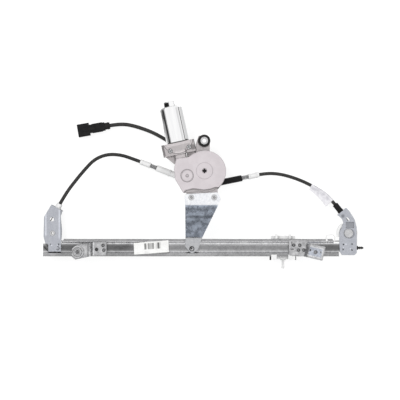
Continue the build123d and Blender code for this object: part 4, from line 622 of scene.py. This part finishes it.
CAST_ALLOY = Metal(
    "cast alloy", (0.46, 0.43, 0.435), (0.62, 0.585, 0.59), rough=(0.34, 0.50), grain=Grain.CAST, scale=1500.0,
    stain=90.0, depth=0.05 * MM, edge_radius=0.9 * MM, painted_edge_share=0.5, corner_shade=0.6, reach=2.6 * MM,
    zones=(
        # Painted light on the gear housing: the dark and light rings are painted shade and highlight of a round step,
        # the lighter neck with a dark strip beside it is a painted highlight and painted shade, the lighter band along
        # the can's foot is a painted highlight, and the dark strip at the block's left edge and the dark spot by the
        # lug are painted shade.
        Ring(0.38, (-43.4, 52.1), (24.1, 25.1), 0.3), Ring(1.25, (-43.4, 52.1), (22.6, 23.7), 0.4),
        *on_motor(
            (1.2, (18.0, 40.0), 1.0, (-8.0, 8.0), 1.0), (0.5, (18.0, 41.0), 1.0, (8.6, 11.0), 0.5),
            (1.25, (48.6, 53.0), 0.8, (-19.0, 19.0), 1.0), (0.40, (36.0, 54.0), 0.8, (-25.0, -23.4), 0.4)),
        *spots((0.5, -18.6, 38.0, 4.2, 1.4)),
    ))
DRAWN_NICKEL = Metal(
    "drawn nickel", (0.90, 0.90, 0.91), (0.98, 0.98, 0.98), rough=(0.07, 0.13), grain=Grain.DRAWN, scale=500.0,
    stain=240.0, stain_share=0.7, depth=0.004 * MM, lean=MOTOR_TURN, corner_shade=0.6,
    # Painted light on the can: the light and dark stripes along its flanks are painted reflections; a dark line is
    # painted round its foot, where it meets the block, and a black patch on its cap.
    zones=on_motor(
        *((tone, (50.0, 108.0), 1.0, x, soft) for tone, x, soft in (
            (0.76, (7.6, 10.4), 0.4), (0.50, (11.4, 13.2), 0.5), (0.60, (13.6, 18.2), 0.5),
            (0.08, (-13.4, -11.4), 0.4), (0.70, (-19.6, -17.8), 0.5))),
        (0.12, (50.0, 54.7), 0.25, (-16.0, 18.4), 1.0), (0.03, (111.8, 118.4), 0.4, (-8.4, -1.2), 0.5)))
BRONZE = Metal(
    "sintered bronze", (0.42, 0.26, 0.11), (0.70, 0.48, 0.24), rough=(0.4, 0.55), grain=Grain.CAST, scale=1800.0)
COPPER = Metal("enamelled copper", (0.45, 0.16, 0.07), (0.80, 0.40, 0.20), rough=(0.2, 0.35), scale=1500.0)
STACK_STEEL = Metal("stacked steel", (0.16, 0.16, 0.17), (0.36, 0.36, 0.37), rough=(0.35, 0.5), scale=1500.0)
FERRITE = Metal(
    "ferrite", (0.05, 0.05, 0.055), (0.12, 0.12, 0.13), rough=(0.5, 0.7), grain=Grain.CAST, scale=1200.0)
COVER_PAINT = Moulded(
    "cover coat", (0.58, 0.535, 0.555), (0.65, 0.605, 0.625), rough=(0.34, 0.46), scale=1100.0,
    # The dark edge colour paints shade along the cover's edges; the dark ring and the dark centre are painted shade in
    # the groove round the small ring and in its dimple.
    edge_radius=0.9 * MM, painted_edge_share=0.6, painted_edge_colour=(0.26, 0.235, 0.24), corner_shade=0.45,
    zones=(Ring(0.40, (-27.7, -7.7), (9.5, 10.3), 0.3), Ring(0.30, (-27.7, -7.9), (1.3, 2.2))))
# The near-black turned square is painted shade in the drive shaft's square socket.
NOSE_COAT = replace(
    COVER_PAINT, name="nose coat", zones=(Zone(0.015, (-2.7, 2.7), 0.2, (-2.7, 2.7), 0.2, turn=45.0),))
# Rubber, black plastic, nylon and carbon get edge colours lighter than their base: painted highlights along their
# edges.
BLACK_RUBBER = Moulded(
    "black rubber", (0.010, 0.010, 0.010), (0.022, 0.021, 0.020), rough=(0.45, 0.62), scale=900.0,
    depth=0.03 * MM, painted_edge_share=0.2, painted_edge_colour=(0.04, 0.04, 0.04), dust=0.03, gloss=0.2)
BLACK_PLASTIC = Moulded(
    "black plastic", (0.006, 0.006, 0.0065), (0.014, 0.014, 0.0145), rough=(0.30, 0.45), painted_edge_share=0.2,
    painted_edge_colour=(0.03, 0.03, 0.03), dust=0.02, gloss=0.15)
SHEATH = Moulded(
    "black sheath", (0.014, 0.0135, 0.013), (0.026, 0.025, 0.024), rough=(0.26, 0.36), scale=600.0,
    painted_edge_share=0.0, dust=0.04, gloss=0.4)
# The grey edge colour paints faint shade along the white plastic's edges.
WHITE_PLASTIC = Moulded(
    "white plastic", (0.80, 0.80, 0.80), (0.87, 0.87, 0.87), rough=(0.32, 0.45), painted_edge_colour=(0.42, 0.42, 0.42),
    corner_shade=0.25)
NYLON = Moulded(
    "nylon", (0.70, 0.68, 0.60), (0.80, 0.78, 0.72), rough=(0.35, 0.5), painted_edge_share=0.3,
    painted_edge_colour=(0.9, 0.88, 0.84))
CARBON = Moulded("carbon", (0.05, 0.05, 0.052), (0.09, 0.09, 0.095), rough=(0.5, 0.65), painted_edge_share=0.1)
RAIL_LABEL = Paper(
    "rail label",
    bars=((0.30, 0.36, 0.70), (0.40, 0.44, 0.62), (0.44, 0.53, 0.42), (0.53, 0.575, 0.68), (0.63, 0.66, 0.25),
          (0.675, 0.735, 0.80), (0.745, 0.77, 0.25)))
TAG_PAPER = Paper("tag paper", (0.66, 0.65, 0.69), (0.86, 0.85, 0.88))

Finish = Metal | Moulded | Paper


# Meshes

# Springs: points to a turn, closed turns at each end, and shares of the height by free and by all turns
COIL_POINTS = 28
CLOSED_TURNS = 0.75
FREE_RISE = 0.93
CLOSED_RISE = 0.07


def unit(vectors: Array) -> Array:
    """Scale vectors, along their last axis, to length one."""
    return vectors / np.linalg.norm(vectors, axis=-1, keepdims=True)


def crossed(first: tuple, second: tuple) -> list[Array]:
    """Cross two even ranges, each given by its start, end and count."""
    return np.meshgrid(np.linspace(*first), np.linspace(*second), indexing="ij")


def level_ways(line: Array) -> tuple[Array, Array]:
    """Find the ways that stand across a level line.

    Args:
        line: Points of the line.

    Returns:
        The level way and the upward way at each point.
    """
    tangent = unit(np.gradient(line, axis=0))
    across = unit(np.cross(tangent, UP))
    return across, np.cross(across, tangent)


def circles(line: Array, ways: tuple[Array, Array], radius: float, sides: int) -> Array:
    """Stand a circle on each point of a line.

    Args:
        line: The circles' centres.
        ways: The two ways, at each point, in which the circle lies.
        radius: The circles' radius.
        sides: Points round each circle.

    Returns:
        Centre plus radius times (cosine along the first way plus sine along the second).
    """
    turn = np.linspace(0, 2 * math.pi, sides, endpoint=False)[None, :, None]
    first, second = ways
    return line[:, None] + radius * (np.cos(turn) * first[:, None] + np.sin(turn) * second[:, None])


def new_object(name: str, data: bpy.types.ID) -> Piece:
    """Make an object and link it to the scene.

    Args:
        name: Its name.
        data: Its mesh, curve, camera or light.

    Returns:
        The object.
    """
    made = bpy.data.objects.new(name, data)
    bpy.context.scene.collection.objects.link(made)
    return made


def grid_piece(name: str, grid: Array, ring: bool = False, caps: bool = False) -> Piece:
    """Make a mesh object from a grid of points.

    Args:
        name: The piece's name.
        grid: Points by row and column.
        ring: Whether the last column joins the first.
        caps: Whether the first and last rows are closed by faces.

    Returns:
        The object. Its face (i, j) joins rows i and i + 1 to columns j and j + 1, and its map,
        sheet, holds the shares of the way along both.
    """
    rows, cols = grid.shape[:2]
    wide = cols if ring else cols - 1
    i, j = np.meshgrid(np.arange(rows - 1), np.arange(wide), indexing="ij")
    k = (j + 1) % cols
    quads = np.stack([i * cols + j, i * cols + k, (i + 1) * cols + k, (i + 1) * cols + j], -1).reshape(-1, 4)
    faces = quads.tolist()
    if caps:
        faces += [list(range(cols))[::-1], list(range((rows - 1) * cols, rows * cols))]
    mesh = bpy.data.meshes.new(name)
    mesh.from_pydata(grid.reshape(-1, 3).tolist(), [], faces)
    u = np.stack([i, i, i + 1, i + 1], -1).reshape(-1) / (rows - 1)
    v = np.stack([j, j + 1, j + 1, j], -1).reshape(-1) / wide
    flat = np.zeros((len(mesh.loops), 2), np.float32)
    flat[: len(u)] = np.stack([u, v], -1)
    mesh.uv_layers.new(name="sheet").data.foreach_set("uv", flat.ravel())
    mesh.polygons.foreach_set("use_smooth", np.arange(len(mesh.polygons)) < len(quads))
    mesh.update()
    return new_object(name, mesh)


def route_curve(name: str, route: tuple[Point, ...]) -> Piece:
    """Make a curve whose smooth line has the route's points as its control points.

    Args:
        name: The curve's name.
        route: The control points.

    Returns:
        The curve object, with no thickness.
    """
    curve = bpy.data.curves.new(name, "CURVE")
    curve.dimensions = "3D"
    curve.resolution_u = 16
    spline = curve.splines.new("NURBS")
    spline.points.add(len(route) - 1)
    spline.points.foreach_set("co", np.c_[np.array(route), np.ones(len(route))].ravel())
    spline.order_u = 3
    spline.use_endpoint_u = True
    return new_object(name, curve)


def route_line(route: tuple[Point, ...], step: float) -> Array:
    """Read evenly spaced points from a route's smooth line.

    Args:
        route: The control points.
        step: Distance between points.

    Returns:
        The points, found by interpolation over the line's length.
    """
    piece = route_curve("route", route)
    mesh = bpy.data.meshes.new_from_object(piece)
    line = np.zeros(len(mesh.vertices) * 3)
    mesh.vertices.foreach_get("co", line)
    line = line.reshape(-1, 3)
    bpy.data.meshes.remove(mesh)
    bpy.data.objects.remove(piece)
    along = np.r_[0.0, np.cumsum(np.linalg.norm(np.diff(line, axis=0), axis=1))]
    wanted = np.linspace(0.0, along[-1], max(2, round(along[-1] / step)))
    return np.stack([np.interp(wanted, along, line[:, k]) for k in range(3)], -1)


def coil_grid(foot: Array, axis: Array, height: float, radius: float, wire: float, turns: float) -> Array:
    """Wire wound round an axis, with closed turns at both ends.

    Args:
        foot: Where the winding starts on the axis.
        axis: Its direction.
        height: Its length.
        radius: From the axis to the wire's centre.
        wire: The wire's radius.
        turns: Number of turns.

    Returns:
        Circles round a line that turns about the axis and rises along it, slowly at both ends.
    """
    share = np.linspace(0, 1, int(turns * COIL_POINTS))
    angle = share * turns * 2 * math.pi
    closed = CLOSED_TURNS / turns
    rise = np.clip((share - closed) / (1 - 2 * closed), 0, 1)
    rise = height * (FREE_RISE * rise + CLOSED_RISE * share)
    side = unit(np.cross(axis, UP))
    radial = np.cos(angle)[:, None] * side + np.sin(angle)[:, None] * np.cross(axis, side)
    centre = foot + rise[:, None] * axis + radius * radial
    tangent = unit(np.gradient(centre, axis=0))
    return circles(centre, (radial, np.cross(tangent, radial)), wire, sides=10)


class SubAssembly:
    """Common work of every sub-assembly: dressing CAD nodes and placing new pieces."""

    materials: dict[str, bpy.types.Material] = {}

    @classmethod
    def material(cls, finish: Finish) -> bpy.types.Material:
        """Build a finish once and keep its material."""
        if finish.name not in cls.materials:
            cls.materials[finish.name] = finish.build()
        return cls.materials[finish.name]

    def dress(self, finish: Finish, *nodes: str) -> None:
        """Give CAD nodes a finish.

        Args:
            finish: The finish.
            nodes: The nodes' names.
        """
        for node in nodes:
            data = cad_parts[node].data
            data.materials.clear()
            data.materials.append(self.material(finish))
            LOG.info("dressed %s in %s", node, finish.name)

    def place(self, piece: Piece, finish: Finish, slot: str, body: str | None = None) -> None:
        """Give a new piece its finish and its body.

        Args:
            piece: The piece.
            finish: Its finish.
            slot: Not used.
            body: The CAD body that it rides on, if it doesn't bend between two.
        """
        piece.data.materials.append(self.material(finish))
        if body:
            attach(piece, body)
        LOG.info("placed %s in %s", piece.name, finish.name)


# Sub-assemblies


@dataclass
class GuideRail(SubAssembly):
    """The rail with its mounts, clip, end stop and label."""

    label_corners: tuple[Point, Point, Point, Point] = (
        (-0.1125, -0.1338, 0), (-0.0568, -0.1300, 0), (-0.1133, -0.1150, 0), (-0.0576, -0.1108, 0))
    flange_front: float = 21.0 * MM
    web_limits: Span = (-0.1299, -0.1153)
    label_lift: float = 0.08 * MM
    label_sag: float = 0.9 * MM
    label_thickness: float = 0.06 * MM
    label_rows: int = 60
    label_columns: int = 36

    def build(self) -> None:
        """Dress the nodes and lay the label across the channel."""
        self.dress(RAIL_ZINC, "rail")
        self.dress(BRIGHT_ZINC, "left_mount_bracket", "right_mount_bracket", "left_mount_nut")
        self.dress(WHITE_PLASTIC, "flange_clip")
        self.dress(BLACK_RUBBER, "end_stop")
        self.label()

    def label(self) -> None:
        """Lay the label: a bilinear patch, lower corners first, that sags over the channel by a squared sine."""
        u, v = crossed((0, 1, self.label_rows), (0, 1, self.label_columns))
        shares = ((1 - v) * (1 - u), (1 - v) * u, v * (1 - u), v * u)
        flat = sum(share[..., None] * np.array(corner) for share, corner in zip(shares, self.label_corners))
        low, high = self.web_limits
        share = np.clip((flat[..., 1] - low) / (high - low), 0, 1)
        flat[..., 2] = self.flange_front + self.label_lift - self.label_sag * np.sin(math.pi * share) ** 2
        piece = grid_piece("rail_label", flat)
        piece.modifiers.new("paper", "SOLIDIFY").thickness = self.label_thickness
        self.place(piece, RAIL_LABEL, "white_plastic", "frame")


@dataclass
class EndPulleys(SubAssembly):
    """Both ends of the rail: brackets, pulleys, rivets and what guides the cable there."""

    def build(self) -> None:
        """Dress the nodes."""
        self.dress(BRACKET_ZINC, "left_end_bracket", "right_end_bracket")
        self.dress(SCREW_ZINC, "left_pulley_eyelet", "right_pulley_rivet")
        self.dress(NYLON, "left_pulley", "right_pulley")
        self.dress(WHITE_PLASTIC, "right_cable_keeper", "left_end_ferrule")
        self.dress(BLACK_PLASTIC, "right_end_ferrule")


@dataclass(frozen=True)
class Conduit:
    """One conduit: its side, route and the points between which it bends with its ferrule."""

    side: str
    route: tuple[Point, ...]
    still: Point
    moving: Point


@dataclass(frozen=True)
class Spring:
    """One tensioner spring: its side, foot, direction, length and how much of it is left at the limit."""

    side: str
    foot: Point
    heading: float
    length: float
    keep: float


@dataclass
class CableRun(SubAssembly):
    """Cable, conduits, tensioners and the tag on the right conduit."""

    conduit_radius: float = 2.75 * MM
    conduit_step: float = 1.2 * MM
    conduits: tuple[Conduit, ...] = (
        Conduit(
            "left",
            ((-0.09747, 0.01296, 0.011), (-0.11426, 0.01944, 0.011), (-0.134, 0.026, 0.0125),
             (-0.156, 0.027, 0.014), (-0.176, 0.019, 0.014), (-0.191, 0.0035, 0.0128),
             (-0.207, -0.0156, 0.0114), (-0.22286, -0.03648, 0.011), (-0.23479, -0.05799, 0.011)),
            still=(-0.176, 0.019, 0.014), moving=(-0.112, 0.0186, 0.011)),
        Conduit(
            "right",
            ((0.0819, -0.00681, 0.011), (0.09856, -0.00342, 0.011), (0.12, -0.0045, 0.0125),
             (0.141, -0.01, 0.014), (0.161, -0.0178, 0.014), (0.181, -0.0285, 0.0126),
             (0.19823, -0.0397, 0.011), (0.21308, -0.05804, 0.011)),
            still=(0.150, -0.0135, 0.014), moving=(0.096, -0.0039, 0.011)),
    )
    springs: tuple[Spring, ...] = (
        Spring("left", (-0.07676, 0.00497, 0.011), 158.9, 11.0 * MM, 8.0 / 11.0),
        Spring("right", (0.05976, -0.01131, 0.011), 11.5, 11.4 * MM, 8.4 / 11.4),
    )
    spring_radius: float = 3.4 * MM
    spring_wire: float = 0.5 * MM
    spring_turns: float = 7.5
    spring_clear: float = 0.1 * MM
    tag_step: float = 1.0 * MM
    tag_share: Span = (0.62, 0.91)
    tag_reach: Span = (5.0 * MM, 11.5 * MM)
    tag_gap: float = 0.12 * MM
    tag_apart: float = 0.05 * MM
    tag_turn: float = 0.80
    tag_thickness: float = 0.08 * MM
    flag_rows: int = 10
    flag_start: float = 0.12
    flag_fade: float = 4.0

    def build(self) -> None:
        """Dress the nodes and build conduits, springs and tag."""
        self.dress(CABLE_STEEL, "lift_cable", "drum_windings")
        self.dress(WHITE_PLASTIC, "left_outlet_tube", "left_tension_ferrule", "right_tension_ferrule")
        for conduit in self.conduits:
            line = route_line(conduit.route, self.conduit_step)
            grid = circles(line, level_ways(line), self.conduit_radius, sides=20)
            piece = grid_piece(conduit.side + "_conduit_sheath", grid, ring=True, caps=True)
            self.place(piece, SHEATH, "conduit_black")
            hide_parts(conduit.side + "_conduit")
            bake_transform(piece)
        for spring in self.springs:
            self.spring(spring)
        self.tag()

    def spring(self, spring: Spring) -> None:
        """Wind one tensioner spring.

        Args:
            spring: The spring.
        """
        turn = math.radians(spring.heading)
        axis = np.array([math.cos(turn), math.sin(turn), 0.0])
        gap = self.spring_wire + self.spring_clear
        foot = np.array(spring.foot) + axis * gap
        height = spring.length - 2 * gap
        grid = coil_grid(foot, axis, height, self.spring_radius, self.spring_wire, self.spring_turns)
        piece = grid_piece(spring.side + "_spring_wire", grid, ring=True, caps=True)
        self.place(piece, TURNED_STEEL, "ground_steel", "frame")
        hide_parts(spring.side + "_tension_spring")
        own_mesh(piece)

    def tag(self) -> None:
        """Wrap the tag round the right conduit: a loop that closes into a flag on the lower side."""
        line = route_line(self.conduits[1].route, self.tag_step)
        first, last = (round(share * len(line)) for share in self.tag_share)
        line = line[first:last]
        across, over = level_ways(line)
        turn = np.linspace(-self.tag_turn * math.pi, self.tag_turn * math.pi, 24)
        near = self.conduit_radius + self.tag_gap
        loop = np.stack([-np.cos(turn) * near, np.sin(turn) * near], -1)
        reach = np.linspace(*self.tag_reach, len(line))[:, None]
        flag = np.linspace(self.flag_start, 1, self.flag_rows) * reach + loop[-1, 0]
        fade = np.exp(-np.linspace(0, self.flag_fade, self.flag_rows))
        wrap = np.broadcast_to(loop[:, 0], (len(line), len(loop)))
        sideways = np.concatenate([flag[:, ::-1], wrap, flag], 1)
        below, above = loop[0, 1] * fade - self.tag_apart, loop[-1, 1] * fade + self.tag_apart
        height = np.concatenate([below[::-1], loop[:, 1], above])
        grid = line[:, None] + sideways[..., None] * across[:, None] + height[None, :, None] * over[:, None]
        piece = grid_piece("conduit_tag", grid)
        piece.modifiers.new("paper", "SOLIDIFY").thickness = self.tag_thickness
        self.place(piece, TAG_PAPER, "white_plastic", "frame")


@dataclass
class GearMotor(SubAssembly):
    """Drum housing, worm gear, motor and the stay that ties them to the rail."""

    def build(self) -> None:
        """Dress the nodes."""
        self.dress(BLACK_PLASTIC, "drum_housing", "brush_holder")
        self.dress(NYLON, "cable_drum", "worm_wheel")
        self.dress(TURNED_STEEL, "drive_plate", "armature_shaft")
        self.dress(NOSE_COAT, "drive_shaft")
        self.dress(BLACK_RUBBER, "rubber_damper", "mounting_grommet")
        self.dress(CAST_ALLOY, "gear_housing")
        self.dress(COVER_PAINT, "gear_cover")
        self.dress(SCREW_ZINC, "grommet_sleeve", "motor_screws", "motor_bracket_screws", "motor_bracket_rivet")
        self.dress(DRAWN_NICKEL, "motor_can")
        self.dress(BRONZE, "tail_bush", "front_bush", "cap_bush")
        self.dress(STACK_STEEL, "armature_core")
        self.dress(COPPER, "armature_windings", "commutator")
        self.dress(CARBON, "carbon_brushes")
        self.dress(FERRITE, "motor_magnets")
        self.dress(STAY_ZINC, "motor_bracket")


@dataclass
class WindowCarrier(SubAssembly):
    """The carrier that slides on the rail."""

    def build(self) -> None:
        """Dress the nodes."""
        self.dress(WHITE_PLASTIC, "carrier")
        self.dress(TURNED_STEEL, "cable_nipples")
        self.dress(SCREW_ZINC, "carrier_insert")
        self.dress(BLACK_RUBBER, "carrier_buffers")


@dataclass
class MotorLead(SubAssembly):
    """The motor's lead, from its grommet to its plug."""

    route: tuple[Point, ...] = (
        (-0.04652, 0.04146, 0.010), (-0.06622, 0.05275, 0.010), (-0.081, 0.061, 0.0086),
        (-0.0965, 0.0673, 0.0064), (-0.1125, 0.0724, 0.0044), (-0.127, 0.0754, 0.0038),
        (-0.14314, 0.07476, 0.007), (-0.16086, 0.07164, 0.007))
    radius: float = 3.0 * MM
    length: float = 0.1215

    def build(self) -> None:
        """Dress plug and grommet and run the lead between them."""
        self.dress(BLACK_RUBBER, "lead_grommet", "plug_boot")
        self.dress(BLACK_PLASTIC, "plug_housing")
        self.dress(TURNED_STEEL, "plug_terminals")
        lead = route_curve("lead_sheath", self.route)
        lead.data.bevel_depth = self.radius
        lead.data.bevel_resolution = 6
        lead.data.use_fill_caps = True
        self.place(lead, SHEATH, "black_rubber", "frame")
        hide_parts("motor_lead")


# Studio


@dataclass(frozen=True)
class Lamp:
    """A soft lamp: its place, size and power."""

    name: str
    place: Point
    size: float
    power: float


@dataclass(frozen=True)
class Card:
    """A dark card that only reflections see: its headings, its heights above the horizon and its shade."""

    name: str
    heading: Span
    lift: Span
    shade: float


@dataclass(frozen=True)
class Mat:
    """A dark mat on the floor that only reflections see: its limits and its shade."""

    name: str
    x: Span
    y: Span
    shade: float


@dataclass
class Studio:
    """Camera, pale floor, white surround, soft lamps and dark cards for the metal to reflect."""

    aim: Point = (-0.0072, -0.0464, 0.020)
    span: float = 0.640
    lens: float = 200.0
    sensor: float = 36.0
    floor_size: float = 6.0
    floor_drop: float = 0.6 * MM
    floor_grey: float = 0.30
    floor_white: float = 0.82
    sky_light: float = 0.55
    card_distance: float = 2.2
    mat_lift: float = 0.2 * MM
    lamps: tuple[Lamp, ...] = (
        Lamp("key", (-1.0, 0.9, 1.5), 1.1, 20.0),
        Lamp("fill", (1.3, 0.2, 1.4), 1.2, 7.0),
        Lamp("low", (0.1, -1.5, 1.0), 0.9, 5.0),
    )
    cards: tuple[Card, ...] = (
        Card("card_left", (168, 216), (0, 48), 0.42),
        Card("card_ring", (216, 528), (0, 7), 0.12),
        Card("card_front", (232, 308), (33, 58), 0.22),
    )
    mats: tuple[Mat, ...] = (
        Mat("mat_near", (-0.20, -0.10), (-0.30, 0.30), 0.40),
        Mat("mat_far", (-2.2, -0.20), (-1.2, 1.2), 0.15),
    )

    def build(self) -> None:
        """Set up camera, light and floor."""
        self.camera()
        self.surround()
        self.floor()
        for lamp in self.lamps:
            self.lamp(lamp)
        for card in self.cards:
            self.card(card)
        for mat in self.mats:
            self.mat(mat)
        bpy.context.scene.view_settings.view_transform = "Standard"

    def camera(self) -> None:
        """Look straight down on the part from far off: distance is span times lens over sensor."""
        data = bpy.data.cameras.new("camera")
        data.lens, data.sensor_width = self.lens, self.sensor
        data.clip_end = 50.0
        camera = new_object("camera", data)
        camera.location = (self.aim[0], self.aim[1], self.aim[2] + self.span * self.lens / self.sensor)
        bpy.context.scene.camera = camera

    def seen(self, graph: Graph) -> Socket:
        """Mask the rays that see the background as plain white.

        Args:
            graph: The floor's or the world's graph.

        Returns:
            1 for camera, glossy and transmission rays.
        """
        path = graph.add("LightPath").outputs
        direct = graph.math("MAXIMUM", path["Is Camera Ray"], path["Is Glossy Ray"])
        return graph.math("MAXIMUM", direct, path["Is Transmission Ray"])

    def surround(self) -> None:
        """White all round, softer as a light than as a background."""
        world = bpy.data.worlds.new("surround")
        graph = Graph.of(world)
        strength = graph.step(self.seen(graph), 0.0, 1.0, self.sky_light, 1.0)
        graph.shade("Background", {"Color": (1.0, 1.0, 1.0), "Strength": strength}, end="OutputWorld")
        bpy.context.scene.world = world

    def floor(self) -> None:
        """Pale floor that keeps the shadow: part of its white is its own, part takes the light."""
        half = self.floor_size / 2
        u, v = crossed((-half, half, 9), (-half, half, 9))
        grid = np.stack([v + self.aim[0], u + self.aim[1], np.full_like(u, -self.floor_drop)], -1)
        floor = grid_piece("floor", grid[:, ::-1])
        material, graph, _ = new_material("floor")
        matt = graph.add("BsdfDiffuse", {"Color": (self.floor_grey,) * 3})
        own = graph.math("MULTIPLY", self.seen(graph), self.floor_white)
        glow = graph.add("Emission", {"Color": (1.0, 1.0, 1.0), "Strength": own})
        graph.shade("AddShader", {0: matt.outputs[0], 1: glow.outputs[0]})
        floor.data.materials.append(material)

    def lamp(self, lamp: Lamp) -> None:
        """Hang one soft lamp, turned to the part.

        Args:
            lamp: The lamp.
        """
        data = bpy.data.lights.new(lamp.name, "AREA")
        data.shape, data.size, data.energy = "DISK", lamp.size, lamp.power
        made = new_object(lamp.name, data)
        made.location = lamp.place
        x, y, z = np.array(self.aim) - np.array(lamp.place)
        made.rotation_euler = (math.acos(-z / math.hypot(x, y, z)), 0, math.atan2(x, -y) + math.pi)
        made.visible_glossy = False

    def card(self, card: Card) -> None:
        """Stand one card: part of a sphere round the part.

        Args:
            card: The card.
        """
        turn, lift = np.radians(crossed((*card.heading, 48), (*card.lift, 4)))
        grid = np.stack([np.cos(lift) * np.cos(turn), np.cos(lift) * np.sin(turn), np.sin(lift)], -1)
        self.reflected(grid_piece(card.name, self.card_distance * grid), card.shade)

    def mat(self, mat: Mat) -> None:
        """Lay one mat on the floor.

        Args:
            mat: The mat.
        """
        u, v = crossed((*mat.x, 5), (*mat.y, 5))
        grid = np.stack([u, v, np.full_like(u, self.mat_lift - self.floor_drop)], -1)
        self.reflected(grid_piece(mat.name, grid), mat.shade)

    def reflected(self, piece: Piece, shade: float) -> None:
        """Give a card or mat its shade and hide it from all but reflections.

        Args:
            piece: The card or mat.
            shade: Its shade.
        """
        material, graph, _ = new_material(piece.name)
        graph.shade("Emission", {"Color": (shade,) * 3, "Strength": 1.0})
        piece.data.materials.append(material)
        piece.visible_camera = piece.visible_diffuse = piece.visible_shadow = piece.visible_transmission = False


def main() -> None:
    """Build the studio and every sub-assembly in order."""
    logging.basicConfig(level=logging.INFO, format="%(message)s")
    Studio().build()
    for part in (MotorLead(), CableRun(), GuideRail(), EndPulleys(), GearMotor(), WindowCarrier()):
        LOG.info("building %s", type(part).__name__)
        part.build()


if __name__ == "__main__":
    main()
